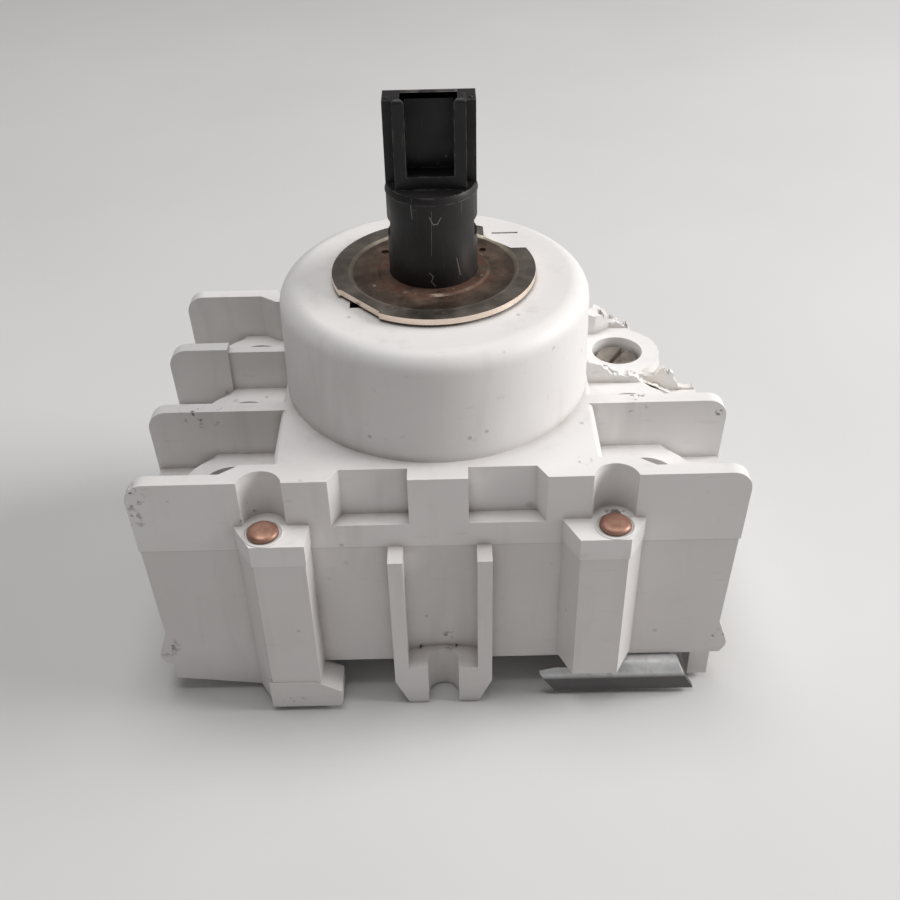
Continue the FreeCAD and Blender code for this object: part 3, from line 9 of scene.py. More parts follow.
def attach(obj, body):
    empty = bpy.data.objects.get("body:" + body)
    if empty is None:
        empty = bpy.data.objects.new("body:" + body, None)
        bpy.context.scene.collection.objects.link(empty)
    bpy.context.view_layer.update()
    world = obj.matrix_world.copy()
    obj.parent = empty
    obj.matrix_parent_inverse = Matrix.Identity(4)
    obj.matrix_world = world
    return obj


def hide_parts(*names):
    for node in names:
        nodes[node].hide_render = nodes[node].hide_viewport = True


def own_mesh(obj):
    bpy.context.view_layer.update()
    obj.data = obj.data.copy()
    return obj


MM = 0.001
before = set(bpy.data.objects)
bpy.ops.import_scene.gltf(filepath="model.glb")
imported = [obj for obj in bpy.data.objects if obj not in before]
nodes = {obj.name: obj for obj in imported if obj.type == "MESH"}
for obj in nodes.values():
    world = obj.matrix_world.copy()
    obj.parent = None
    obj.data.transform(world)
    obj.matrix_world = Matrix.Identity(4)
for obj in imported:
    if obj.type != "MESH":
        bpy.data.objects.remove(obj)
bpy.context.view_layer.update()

# The broken faces and the burrs come out the same on every run.
NOISE_SEED = 7
noise.seed_set(NOISE_SEED)


# Camera, lights and floor.

CAMERA_PLACE = (0.00192, -0.14780, 0.14038)
CAMERA_ANGLES = (37.54, -0.05, 1.33)
CAMERA_LENS = 44.49
LIGHT_TARGET = (0, 0, 0.03)
FLOOR_DROP = 0.0002
FLOOR_SIZE = 1.6


def place_camera():
    """The photograph's own view point, worked out from the body's corners: down, round and tilt angles."""
    pitch, yaw, roll = (math.radians(angle) for angle in CAMERA_ANGLES)
    ahead = Vector((math.sin(yaw) * math.cos(pitch), math.cos(yaw) * math.cos(pitch), -math.sin(pitch)))
    level = Vector((math.cos(yaw), -math.sin(yaw), 0))
    down = ahead.cross(level)
    right = level * math.cos(roll) + down * math.sin(roll)
    up = level * math.sin(roll) - down * math.cos(roll)
    data = bpy.data.cameras.new("photo_camera")
    data.lens = CAMERA_LENS
    data.sensor_width = 36
    data.clip_start = 0.01
    camera = bpy.data.objects.new("photo_camera", data)
    bpy.context.scene.collection.objects.link(camera)
    turn = Matrix((right, up, -ahead)).transposed()
    camera.matrix_world = Matrix.Translation(CAMERA_PLACE) @ turn.to_4x4()
    bpy.context.scene.camera = camera


def area_light(name, place, size, power, colour=(1, 1, 1)):
    """A round soft lamp that shines on the middle of the object."""
    data = bpy.data.lights.new(name, "AREA")
    data.shape = "DISK"
    data.size = size
    data.energy = power
    data.color = colour
    lamp = bpy.data.objects.new(name, data)
    bpy.context.scene.collection.objects.link(lamp)
    lamp.location = place
    lamp.rotation_euler = (Vector(LIGHT_TARGET) - Vector(place)).to_track_quat("-Z", "Y").to_euler()


def add_studio():
    area_light("key", (0.66, 0.02, 0.36), 0.42, 4.9, (1.0, 0.985, 0.97))
    area_light("top", (-0.05, 0.08, 0.80), 0.50, 3.0)
    world = bpy.data.worlds.new("studio")
    world.use_nodes = True
    sky = world.node_tree.nodes["Background"].inputs
    sky["Color"].default_value = (0.93, 0.90, 0.91, 1)
    sky["Strength"].default_value = 0.20
    bpy.context.scene.world = world
    bpy.context.scene.view_settings.view_transform = "Standard"


# Materials: each one is a small wiring job on top of Principled BSDF.

class Finish:
    """A material whose nodes are added one by one, with patterns placed by object coordinates."""

    def __init__(self, name):
        self.material = bpy.data.materials.new(name)
        self.material.use_nodes = True
        self.tree = self.material.node_tree
        self.shader = self.tree.nodes["Principled BSDF"]
        self.place = self.add("ShaderNodeTexCoord").outputs["Object"]
        self.heights = None

    def add(self, kind, **settings):
        node = self.tree.nodes.new(kind)
        for name, setting in settings.items():
            setattr(node, name, setting)
        return node

    def feed(self, socket, source):
        """Wire a socket to another node's output, or set its value."""
        if isinstance(source, bpy.types.NodeSocket):
            self.tree.links.new(source, socket)
        elif hasattr(source, "__len__") and len(source) == 3 and socket.type == "RGBA":
            socket.default_value = (*source, 1)
        else:
            socket.default_value = source

    def stretched(self, scale, shift=(0, 0, 0)):
        node = self.add("ShaderNodeMapping")
        self.feed(node.inputs["Vector"], self.place)
        node.inputs["Scale"].default_value = scale
        node.inputs["Location"].default_value = shift
        return node.outputs["Vector"]

    def noise(self, scale, detail=3.0, roughness=0.55, where=None):
        node = self.add("ShaderNodeTexNoise")
        self.feed(node.inputs["Vector"], self.place if where is None else where)
        node.inputs["Scale"].default_value = scale
        node.inputs["Detail"].default_value = detail
        node.inputs["Roughness"].default_value = roughness
        return node.outputs["Fac"]

    def dots(self, scale, where=None):
        """Distance to the nearest of many scattered points, and a random value for each."""
        node = self.add("ShaderNodeTexVoronoi")
        self.feed(node.inputs["Vector"], self.place if where is None else where)
        node.inputs["Scale"].default_value = scale
        chance = self.add("ShaderNodeSeparateColor")
        self.feed(chance.inputs["Color"], node.outputs["Color"])
        return node.outputs["Distance"], chance.outputs["Red"]

    def fade(self, source, low, high, low_value=0.0, high_value=1.0):
        """A clamped straight ramp from one input value to another."""
        node = self.add("ShaderNodeMapRange", clamp=True)
        self.feed(node.inputs["Value"], source)
        ends = {"From Min": low, "From Max": high, "To Min": low_value, "To Max": high_value}
        for name, setting in ends.items():
            node.inputs[name].default_value = setting
        return node.outputs["Result"]

    def sum(self, operation, first, second):
        node = self.add("ShaderNodeMath", operation=operation)
        self.feed(node.inputs[0], first)
        self.feed(node.inputs[1], second)
        return node.outputs["Value"]

    def times(self, *factors):
        product = factors[0]
        for factor in factors[1:]:
            product = self.sum("MULTIPLY", product, factor)
        return product

    def blend(self, factor, under, over):
        node = self.add("ShaderNodeMix", data_type="RGBA")
        self.feed(node.inputs[0], factor)
        self.feed(node.inputs[6], under)
        self.feed(node.inputs[7], over)
        return node.outputs[2]

    def crevice(self, reach):
        """1 deep in a corner and 0 out in the open."""
        node = self.add("ShaderNodeAmbientOcclusion", samples=6)
        node.inputs["Distance"].default_value = reach
        return self.fade(node.outputs["AO"], 0.35, 0.95, 1.0, 0.0)

    def outer_edges(self, radius):
        """1 along outward edges, found where a rounded normal leaves the true one."""
        round_node = self.add("ShaderNodeBevel", samples=6)
        round_node.inputs["Radius"].default_value = radius
        flat = self.add("ShaderNodeNewGeometry")
        dot = self.add("ShaderNodeVectorMath", operation="DOT_PRODUCT")
        self.feed(dot.inputs[0], round_node.outputs["Normal"])
        self.feed(dot.inputs[1], flat.outputs["Normal"])
        return self.fade(dot.outputs["Value"], 0.99, 0.82, 0.0, 1.0)

    def near(self, centre, reach, soft=0.5):
        """1 within a ball round a point of the object, fading out at its edge."""
        node = self.add("ShaderNodeVectorMath", operation="DISTANCE")
        self.feed(node.inputs[0], self.place)
        node.inputs[1].default_value = [c * MM for c in centre]
        return self.fade(node.outputs["Value"], reach * MM * (1 - soft), reach * MM, 1.0, 0.0)

    def scored(self, start, end, width):
        """1 along a straight scratch, from one (x, z) in millimetres to another, seen from the front."""
        begin = Vector((start[0], 0, start[1])) * MM
        way = Vector((end[0], 0, end[1])) * MM - begin
        flat = self.add("ShaderNodeVectorMath", operation="MULTIPLY")
        self.feed(flat.inputs[0], self.place)
        flat.inputs[1].default_value = (1, 0, 1)
        offset = self.add("ShaderNodeVectorMath", operation="SUBTRACT")
        self.feed(offset.inputs[0], flat.outputs["Vector"])
        offset.inputs[1].default_value = begin
        along = self.add("ShaderNodeVectorMath", operation="DOT_PRODUCT")
        self.feed(along.inputs[0], offset.outputs["Vector"])
        along.inputs[1].default_value = way.normalized()
        foot = self.add("ShaderNodeVectorMath", operation="SCALE")
        foot.inputs[0].default_value = way
        self.feed(foot.inputs["Scale"], self.fade(along.outputs["Value"], 0, way.length))
        gap = self.add("ShaderNodeVectorMath", operation="DISTANCE")
        self.feed(gap.inputs[0], offset.outputs["Vector"])
        self.feed(gap.inputs[1], foot.outputs["Vector"])
        front = self.fade(self.axis("Y"), -1 * MM, 0, 1, 0)
        return self.times(self.fade(gap.outputs["Value"], width * 0.5 * MM, width * MM, 1, 0), front)

    def axis(self, name):
        node = self.add("ShaderNodeSeparateXYZ")
        self.feed(node.inputs["Vector"], self.place)
        return node.outputs[name]

    def slope(self):
        """How far a face lies flat: 1 where it faces up or down and 0 where it stands upright."""
        facing = self.add("ShaderNodeNewGeometry")
        parts = self.add("ShaderNodeSeparateXYZ")
        self.feed(parts.inputs["Vector"], facing.outputs["Normal"])
        return self.sum("ABSOLUTE", parts.outputs["Z"], 0.0)

    def radius(self):
        """Distance from the shaft's axis, in millimetres."""
        x, y = self.axis("X"), self.axis("Y")
        squares = self.sum("ADD", self.times(x, x), self.times(y, y))
        return self.sum("MULTIPLY", self.sum("SQRT", squares, 0.5), 1000.0)

    def rough(self, height, distance, strength=1.0):
        """Lay one more layer of bumps over those already there."""
        node = self.add("ShaderNodeBump")
        self.feed(node.inputs["Height"], height)
        node.inputs["Distance"].default_value = distance * MM
        node.inputs["Strength"].default_value = strength
        if self.heights is not None:
            self.feed(node.inputs["Normal"], self.heights)
        self.heights = node.outputs["Normal"]

    def done(self, colour, roughness, metallic=0.0, specular=0.5):
        self.feed(self.shader.inputs["Base Color"], colour)
        self.feed(self.shader.inputs["Roughness"], roughness)
        self.feed(self.shader.inputs["Metallic"], metallic)
        self.feed(self.shader.inputs["Specular IOR Level"], specular)
        if self.heights is not None:
            self.feed(self.shader.inputs["Normal"], self.heights)
        return self.material


def moulded_plastic(name, clean, aged, marks, specks=0.5, seam=None, torn=()):
    """Off-white moulding with patchy painted shade in its corners, specks and dark marks at given places."""
    finish = Finish(name)
    colour = finish.blend(finish.fade(finish.noise(38, 4), 0.35, 0.7), clean, aged)
    streak = finish.noise(1.0, 3, where=finish.stretched((260, 260, 45)))
    colour = finish.blend(finish.times(finish.fade(streak, 0.55, 0.8), 0.25), colour, (0.50, 0.47, 0.45))
    patchy = finish.fade(finish.noise(120, 5, 0.65), 0.38, 0.68)
    # Painted shade: the moulding darkened in its corners and recesses, broken up by patchy noise.
    corner_shade = finish.times(finish.crevice(1.6 * MM), finish.fade(patchy, 0, 1, 0.25, 0.8))
    colour = finish.blend(corner_shade, colour, (0.36, 0.32, 0.285))
    away, chance = finish.dots(420)
    small = finish.times(finish.fade(away, 0.10, 0.17, 1, 0), finish.fade(chance, 0.93, 0.95))
    wide_away, wide_chance = finish.dots(150)
    wide = finish.times(finish.fade(wide_away, 0.05, 0.12, 1, 0), finish.fade(wide_chance, 0.86, 0.9))
    dirt = finish.sum("MAXIMUM", small, finish.times(wide, 0.8))
    colour = finish.blend(finish.times(dirt, specks), colour, (0.16, 0.14, 0.125))
    fine = finish.noise(1500, 4, 0.6)
    for centre, reach, low, dark in marks:
        spot = finish.near(centre, reach, 0.6)
        spot = finish.times(spot, finish.fade(finish.noise(900, 3), low, low + 0.08))
        colour = finish.blend(spot, colour, (dark, dark * 0.93, dark * 0.88))
    for centre, reach in torn:
        frosted = finish.times(finish.near(centre, reach, 0.7), finish.fade(finish.noise(520, 4), 0.3, 0.6))
        colour = finish.blend(finish.times(frosted, 0.45), colour, (0.84, 0.79, 0.70))
    scratch = finish.noise(1.0, 2, where=finish.stretched((180, 1900, 700)))
    lines = finish.times(finish.fade(scratch, 0.66, 0.72), 0.3)
    colour = finish.blend(lines, colour, (0.62, 0.60, 0.58))
    if seam is not None:
        level, half_depth = seam
        height = finish.axis("Z")
        line = finish.times(finish.fade(height, (level - 0.22) * MM, (level - 0.06) * MM),
                            finish.fade(height, level * MM, (level + 0.06) * MM, 1, 0),
                            finish.fade(finish.sum("ABSOLUTE", finish.axis("Y"), 0), half_depth * MM,
                                        (half_depth + 0.1) * MM, 1, 0),
                            finish.fade(finish.slope(), 0.3, 0.5, 1, 0))
        colour = finish.blend(finish.times(line, 0.8), colour, (0.10, 0.085, 0.08))
    gloss = finish.fade(finish.noise(90, 4), 0.3, 0.7, 0.40, 0.52)
    finish.rough(finish.noise(170, 2), 0.06, 0.25)
    finish.rough(fine, 0.02, 0.35)
    return finish.done(colour, gloss, specular=0.42)


# Each scratch on the front of the shaft: where it starts and ends as (x, z), and its width.
SHAFT_SCRATCHES = [
    ((-0.3, 72.3), (0.2, 71.2), 0.07), ((0.2, 71.2), (0.8, 71.3), 0.09), ((0.8, 71.3), (1.3, 72.2), 0.06),
    ((-0.55, 63.7), (0.0, 63.1), 0.07), ((0.0, 63.1), (-0.3, 62.3), 0.07), ((-0.3, 62.3), (0.25, 61.6), 0.07),
    ((0.0, 73.2), (-0.15, 66.4), 0.022), ((-2.9, 74.0), (-2.7, 71.8), 0.04), ((3.4, 65.5), (3.9, 62.6), 0.04),
]


def black_plastic():
    """Satin black moulding, lighter grey on its edges from wear and a painted edge highlight, and scratched.
    """
    finish = Finish("worn_black_plastic")
    cloudy = finish.fade(finish.noise(140, 4), 0.35, 0.7)
    colour = finish.blend(cloudy, (0.0085, 0.0078, 0.008), (0.017, 0.0155, 0.0155))
    # Edges painted lighter grey: partly wear, partly a painted highlight along the edges.
    edge_wear_and_highlight = finish.times(finish.outer_edges(0.35 * MM), finish.fade(finish.noise(700, 4), 0.42, 0.6))
    colour = finish.blend(finish.times(edge_wear_and_highlight, 0.7), colour, (0.19, 0.18, 0.175))
    scratch = finish.noise(1.0, 2, where=finish.stretched((2600, 2600, 130)))
    colour = finish.blend(finish.times(finish.fade(scratch, 0.69, 0.74), 0.5), colour, (0.12, 0.115, 0.11))
    for start, end, width in SHAFT_SCRATCHES:
        colour = finish.blend(finish.times(finish.scored(start, end, width), 0.8), colour, (0.36, 0.34, 0.33))
    dust_away, dust_chance = finish.dots(900)
    dust = finish.times(finish.fade(dust_away, 0.12, 0.2, 1, 0), finish.fade(dust_chance, 0.93, 0.95))
    colour = finish.blend(finish.times(dust, 0.55), colour, (0.25, 0.24, 0.23))
    finish.rough(finish.noise(420, 4), 0.04, 0.4)
    finish.rough(finish.noise(2500, 2), 0.012, 0.4)
    gloss = finish.fade(finish.noise(260, 3), 0.3, 0.7, 0.36, 0.55)
    return finish.done(colour, gloss, specular=0.4)


def stained_zinc():
    """Zinc-plated plate: grey-brown rim, brown stained floor, rust round the shaft, a painted highlight round
    the step between rim and floor, and a bright edge.
    """
    finish = Finish("stained_yellow_zinc")
    radius = finish.radius()
    mottle = finish.noise(260, 5, 0.65)
    floor_colour = finish.blend(finish.fade(mottle, 0.35, 0.68), (0.115, 0.080, 0.062), (0.235, 0.185, 0.145))
    rim_cloud = finish.fade(finish.noise(190, 4), 0.35, 0.7)
    rim_colour = finish.blend(rim_cloud, (0.19, 0.16, 0.14), (0.34, 0.30, 0.26))
    colour = finish.blend(finish.fade(radius, 12.1, 12.7), floor_colour, rim_colour)
    rust = finish.fade(radius, 8.4, 11.2, 1, 0)
    rust = finish.times(rust, finish.fade(finish.noise(430, 5, 0.7), 0.36, 0.6))
    colour = finish.blend(finish.times(rust, 0.75), colour, (0.115, 0.040, 0.018))
    # Painted highlight: a bright band round the step between the rim and the floor, where the step's wall
    # faces the light.
    step = finish.times(finish.fade(radius, 11.95, 12.15), finish.fade(radius, 12.55, 12.7, 1, 0))
    colour = finish.blend(finish.times(step, 0.55), colour, (0.55, 0.50, 0.40))
    edge = finish.times(finish.fade(finish.slope(), 0.25, 0.55, 1, 0), finish.fade(radius, 13.0, 13.4))
    colour = finish.blend(edge, colour, (0.90, 0.77, 0.66))
    away, chance = finish.dots(700)
    chips = finish.times(finish.fade(away, 0.12, 0.22, 1, 0), finish.fade(chance, 0.9, 0.93))
    colour = finish.blend(finish.times(chips, 0.6), colour, (0.60, 0.56, 0.46))
    rough = finish.fade(finish.noise(330, 4), 0.3, 0.7, 0.26, 0.5)
    rough = finish.sum("ADD", rough, finish.times(rust, 0.3))
    metal = finish.sum("SUBTRACT", 0.92, finish.times(rust, 0.6))
    finish.rough(finish.noise(240, 3), 0.10, 0.35)
    finish.rough(finish.noise(1600, 3), 0.02, 0.35)
    return finish.done(colour, rough, metal)


def zinc(name, bright, dull, stain_and_shade_colour, stain_share, rough_low=0.3, rough_high=0.5, dark_below=None,
         metal=0.9):
    """Plated steel with a spangled sheen, stains, painted shade in its corners and fine scratches, and a
    painted dark reflection below a given height.
    """
    finish = Finish(name)
    colour = finish.blend(finish.fade(finish.noise(300, 4, 0.6), 0.35, 0.68), bright, dull)
    cells = finish.add("ShaderNodeTexVoronoi", feature="F1")
    finish.feed(cells.inputs["Vector"], finish.place)
    cells.inputs["Scale"].default_value = 620
    tone = finish.add("ShaderNodeSeparateColor")
    finish.feed(tone.inputs["Color"], cells.outputs["Color"])
    colour = finish.blend(finish.times(tone.outputs["Green"], 0.22), colour, dull)
    dirt = finish.times(finish.fade(finish.noise(520, 5, 0.7), 0.55, 0.68), stain_share)
    # Painted dark reflection: below the given height the metal is darkened to stand in for the dark
    # surroundings its faces reflect.
    if dark_below is not None:
        painted_dark_reflection = finish.fade(finish.axis("Z"), (dark_below - 0.5) * MM, (dark_below + 0.3) * MM, 0.92, 0)
        colour = finish.blend(painted_dark_reflection, colour, (0.050, 0.046, 0.046))
    # Painted shade: the metal darkened in its corners, joined with the noise stains in one colour.
    corner = finish.times(finish.crevice(0.8 * MM), 0.7)
    colour = finish.blend(finish.sum("MAXIMUM", dirt, corner), colour, stain_and_shade_colour)
    scratch = finish.noise(1.0, 2, where=finish.stretched((300, 2600, 2600)))
    finish.rough(scratch, 0.02, 0.3)
    finish.rough(finish.noise(1800, 3), 0.015, 0.35)
    gloss = finish.fade(finish.noise(400, 4), 0.3, 0.7, rough_low, rough_high)
    return finish.done(colour, gloss, metal)


def copper_rivet():
    """Brown copper head of mottled tone, with painted shade round its rim."""
    finish = Finish("rivet_copper")
    worn = finish.fade(finish.noise(600, 4, 0.6), 0.36, 0.66)
    colour = finish.blend(worn, (0.44, 0.255, 0.190), (0.31, 0.165, 0.118))
    # Painted shade: the head darkened in the corner round its rim, where it meets the moulding.
    dark = finish.times(finish.crevice(0.5 * MM), 0.9)
    colour = finish.blend(dark, colour, (0.06, 0.035, 0.025))
    finish.rough(finish.noise(1500, 3), 0.03, 0.35)
    return finish.done(colour, finish.fade(finish.noise(500, 3), 0.3, 0.7, 0.42, 0.6), 0.7)


def floor_paper():
    finish = Finish("floor_paper")
    colour = finish.blend(finish.fade(finish.noise(9, 3), 0.3, 0.7), (0.66, 0.655, 0.65), (0.70, 0.695, 0.69))
    finish.rough(finish.noise(900, 3), 0.02, 0.2)
    return finish.done(colour, 0.8, specular=0.2)


# Shapes.

def new_piece(name, mesh):
    piece = bpy.data.objects.new(name, mesh)
    bpy.context.scene.collection.objects.link(piece)
    return piece


def welded(node):
    """A CAD node's faces joined back together, without the lines between flat triangles."""
    work = bmesh.new()
    work.from_mesh(nodes[node].data)
    bmesh.ops.remove_doubles(work, verts=work.verts, dist=2e-6)
    bmesh.ops.dissolve_limit(work, angle_limit=math.radians(0.6), verts=work.verts, edges=work.edges)
    return work


def soften(work, width, sharpest=32, spared=None):
    """Round every hard edge over a small width, apart from those that spared() names."""
    limit = math.radians(sharpest)
    hard = []
    for edge in work.edges:
        if len(edge.link_faces) == 2 and edge.calc_face_angle(0) > limit:
            if spared is None or not spared(edge):
                hard.append(edge)
    bmesh.ops.bevel(work, geom=hard, offset=width, offset_type="OFFSET", segments=2, profile=0.6,
                    affect="EDGES", clamp_overlap=True)


def fresh_mesh(name, work, smooth_under=38):
    """A plain mesh of the shape, smooth except at edges sharper than the given angle."""
    bmesh.ops.recalc_face_normals(work, faces=work.faces)
    mesh = bpy.data.meshes.new(name)
    bmesh.ops.triangulate(work, faces=[face for face in work.faces if len(face.verts) > 4])
    places = [vert.co.copy() for vert in work.verts]
    work.verts.index_update()
    mesh.from_pydata(places, [], [[vert.index for vert in face.verts] for face in work.faces])
    work.free()
    mesh.shade_smooth()
    mesh.set_sharp_from_angle(angle=math.radians(smooth_under))
    return mesh


def stand_in(name, node, body, work, material, smooth_under=38):
    """Show a detailed mesh in place of a CAD node."""
    piece = new_piece(name, fresh_mesh(name, work, smooth_under))
    piece.data.materials.append(material)
    weighted = piece.modifiers.new("weighted_normals", "WEIGHTED_NORMAL")
    weighted.keep_sharp = True
    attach(piece, body)
    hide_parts(node)
    return piece


def in_break(point):
    """Whether a point lies on the torn edges of the two rear fins, in metres."""
    x, y, z = point / MM
    inner = 7.5 < y < 10.0 and x > 24.2
    rear = 22.6 < y < 28.5 and x > 23.7 and z > 34.6
    stub = 25.0 < y < 27.5 and x > 33.0
    return (inner or rear or stub) and 32.1 < z < 42.2


def tear(work):
    """Break up the torn edges of the fins into small uneven steps, held still at their foot."""
    def torn_faces():
        return [face for face in work.faces
                if in_break(face.calc_center_median()) and abs(face.normal.y) < 0.4
                and not (face.normal.x > 0.97 and face.calc_center_median().z < 0.0325)]
    for cuts in (3, 2):
        edges = dict.fromkeys(edge for face in torn_faces() for edge in face.edges)
        bmesh.ops.subdivide_edges(work, edges=list(edges), cuts=cuts, use_grid_fill=True)
    moved = dict.fromkeys(vert for face in torn_faces() for vert in face.verts)
    for vert in moved:
        point = vert.co / MM
        held = min(1.0, max(0.0, point.z - 32.25)) * min(1.0, max(0.0, (point.x - 23.8) * 2))
        above = Vector((point.x, point.y, 0))
        step = noise.cell(Vector((point.x * 1.15, point.y * 0.7, 3))) - 0.5
        grain = noise.noise(above * 2.4)
        vert.co.z += (0.55 * step + 0.15 * grain) * held * MM
        vert.co.x += 0.12 * noise.noise(above * 1.9 + Vector((7, 1, 4))) * held * MM
        vert.co.z = min(vert.co.z, 42.5 * MM)


# The line round the last screw boss along which the rear corner broke off both mouldings.
CRACK_LINE = [(39.15, 10.0), (39.25, 14.2), (39.1, 18.6), (38.55, 20.6), (37.55, 22.3), (36.25, 23.7),
              (34.75, 24.6), (34.15, 28.35)]


def off_crack_line(x, y):
    """How far a point lies from the crack line, in millimetres."""
    here = Vector((x, y))
    gaps = []
    for start, end in zip(CRACK_LINE, CRACK_LINE[1:]):
        start, way = Vector(start), Vector(end) - Vector(start)
        share = max(0.0, min(1.0, (here - start).dot(way) / way.length_squared))
        gaps.append((start + way * share - here).length)
    return min(gaps)


def torn_off(point):
    """Whether a point lies on any torn edge or face of the broken corner, in metres."""
    x, y, z = point / MM
    wall = off_crack_line(x, y) < 0.6
    slope = x > 38.8 and z > 23.2
    return in_break(point) or (y > 9.9 and x > 33.5 and z < 35 and (wall or slope))


def crumble(work):
    """Roughen the faces left where the corner broke off."""
    def broken_faces():
        found = []
        for face in work.faces:
            x, y, z = face.calc_center_median() / MM
            if y > 9.9 and x > 33.5 and z < 35:
                wall = abs(face.normal.z) < 0.3 and off_crack_line(x, y) < 0.5
                slope = abs(face.normal.x) < 0.3 and face.normal.z > 0.15 and 23.3 < z < 28.6 and x > 39
                if wall or slope:
                    found.append(face)
        return found
    for cuts in (3, 2):
        edges = dict.fromkeys(edge for face in broken_faces() for edge in face.edges)
        bmesh.ops.subdivide_edges(work, edges=list(edges), cuts=cuts, use_grid_fill=True)
    for vert in dict.fromkeys(vert for face in broken_faces() for vert in face.verts):
        point = vert.co / MM
        shift = noise.noise_vector(point * 0.9) * 0.22 + noise.noise_vector(point * 2.9) * 0.12
        if off_crack_line(point.x, point.y) < 0.5:
            vert.co.x += shift.x * MM
            vert.co.y += shift.y * MM
        elif point.z < 28.6:
            vert.co.z += shift.z * 1.6 * MM


def turned_profile(name, profile, turns=40):
    """An object turned about the vertical axis from (radius, height) points, in millimetres."""
    mesh = bpy.data.meshes.new(name)
    points = [(radius * MM, 0, height * MM) for radius, height in profile]
    mesh.from_pydata(points, [(index, index + 1) for index in range(len(points) - 1)], [])
    piece = new_piece(name, mesh)
    spin = piece.modifiers.new("spin", "SCREW")
    spin.axis = "Z"
    spin.steps = spin.render_steps = turns
    spin.use_merge_vertices = True
    spin.merge_threshold = 1e-6
    return piece


def layout_tree():
    """Nodes that set a shape out on a grid of places about the shaft's axis."""
    tree = bpy.data.node_groups.new("set_out", "GeometryNodeTree")
    face = tree.interface
    face.new_socket("Geometry", in_out="INPUT", socket_type="NodeSocketGeometry")
    for name, kind in (("Columns", "Int"), ("Rows", "Int"), ("Column Spacing", "Float"),
                       ("Row Spacing", "Float"), ("Material", "Material")):
        face.new_socket(name, in_out="INPUT", socket_type=f"NodeSocket{kind}")
    face.new_socket("Geometry", in_out="OUTPUT", socket_type="NodeSocketGeometry")
    link = tree.links.new
    given = tree.nodes.new("NodeGroupInput").outputs
    width, depth = tree.nodes.new("ShaderNodeMath"), tree.nodes.new("ShaderNodeMath")
    for reach, count, spacing in ((width, "Columns", "Column Spacing"), (depth, "Rows", "Row Spacing")):
        reach.operation = "MULTIPLY"
        gaps = tree.nodes.new("ShaderNodeMath")
        gaps.operation = "SUBTRACT"
        link(given[count], gaps.inputs[0])
        gaps.inputs[1].default_value = 1
        link(gaps.outputs[0], reach.inputs[0])
        link(given[spacing], reach.inputs[1])
    grid = tree.nodes.new("GeometryNodeMeshGrid")
    link(width.outputs[0], grid.inputs["Size X"])
    link(depth.outputs[0], grid.inputs["Size Y"])
    link(given["Columns"], grid.inputs["Vertices X"])
    link(given["Rows"], grid.inputs["Vertices Y"])
    copies = tree.nodes.new("GeometryNodeInstanceOnPoints")
    link(grid.outputs["Mesh"], copies.inputs["Points"])
    link(given["Geometry"], copies.inputs["Instance"])
    real = tree.nodes.new("GeometryNodeRealizeInstances")
    link(copies.outputs["Instances"], real.inputs["Geometry"])
    dressed = tree.nodes.new("GeometryNodeSetMaterial")
    link(real.outputs["Geometry"], dressed.inputs["Geometry"])
    link(given["Material"], dressed.inputs["Material"])
    link(dressed.outputs["Geometry"], tree.nodes.new("NodeGroupOutput").inputs["Geometry"])
    return tree


def set_out(piece, tree, material, columns, rows, spacing):
    """The piece's shape at each place, joined in one; the piece itself is used up."""
    layout = piece.modifiers.new("set_out", "NODES")
    layout.node_group = tree
    sizes = {"Columns": columns, "Rows": rows, "Column Spacing": spacing[0] * MM,
             "Row Spacing": spacing[1] * MM, "Material": material}
    for socket in tree.interface.items_tree:
        if socket.in_out == "INPUT" and socket.name in sizes:
            layout[socket.identifier] = sizes[socket.name]
    ready = piece.evaluated_get(bpy.context.evaluated_depsgraph_get())
    mesh = bpy.data.meshes.new_from_object(ready)
    work = bmesh.new()
    work.from_mesh(mesh)
    bmesh.ops.remove_doubles(work, verts=work.verts, dist=1e-6)
    bpy.data.objects.remove(piece)
    bpy.data.meshes.remove(mesh)
    return work


# The four rivets stand at the corners of this rectangle.
RIVET_SPACING = (50.2, 58.3)


def make_mouldings(upper_material, lower_material, tree):
    work = welded("upper_housing")
    tear(work)
    crumble(work)
    soften(work, 0.22 * MM, spared=lambda edge: any(torn_off(vert.co) for vert in edge.verts))
    stand_in("upper_moulding", "upper_housing", "housing", work, upper_material)
    work = welded("lower_housing")
    crumble(work)
    soften(work, 0.22 * MM, spared=lambda edge: any(torn_off(vert.co) for vert in edge.verts))
    stand_in("lower_moulding", "lower_housing", "housing", work, lower_material)
    pressed_lip = [(2.6, 34.8), (2.64, 35.0), (2.78, 35.06), (2.92, 35.0), (2.98, 34.8), (2.6, 34.8)]
    work = set_out(turned_profile("lip_profile", pressed_lip), tree, upper_material, 2, 2, RIVET_SPACING)
    lips = new_piece("pressed_lips", fresh_mesh("pressed_lips", work))
    lips.data.materials.append(upper_material)
    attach(lips, "housing")


def make_rivets(material, tree):
    """Pressed rivets: low domed heads with a rolled rim, and split tails."""
    dome = [(0, 35.86), (0.9, 35.85), (1.55, 35.81), (1.95, 35.7), (2.2, 35.5), (2.32, 35.22), (2.3, 34.99),
            (2.15, 34.91), (1.5, 34.9), (1.5, 9.0), (1.95, 8.95), (2.0, 8.6), (1.9, 8.25), (1.1, 8.2),
            (0.9, 9.4), (0, 9.7)]
    work = set_out(turned_profile("rivet_profile", dome), tree, material, 2, 2, RIVET_SPACING)
    stand_in("rivets_pressed", "housing_rivets", "housing", work, material, 50)


# Edges of the shaft above this height belong to its top face.
SHAFT_TOP = 87.6


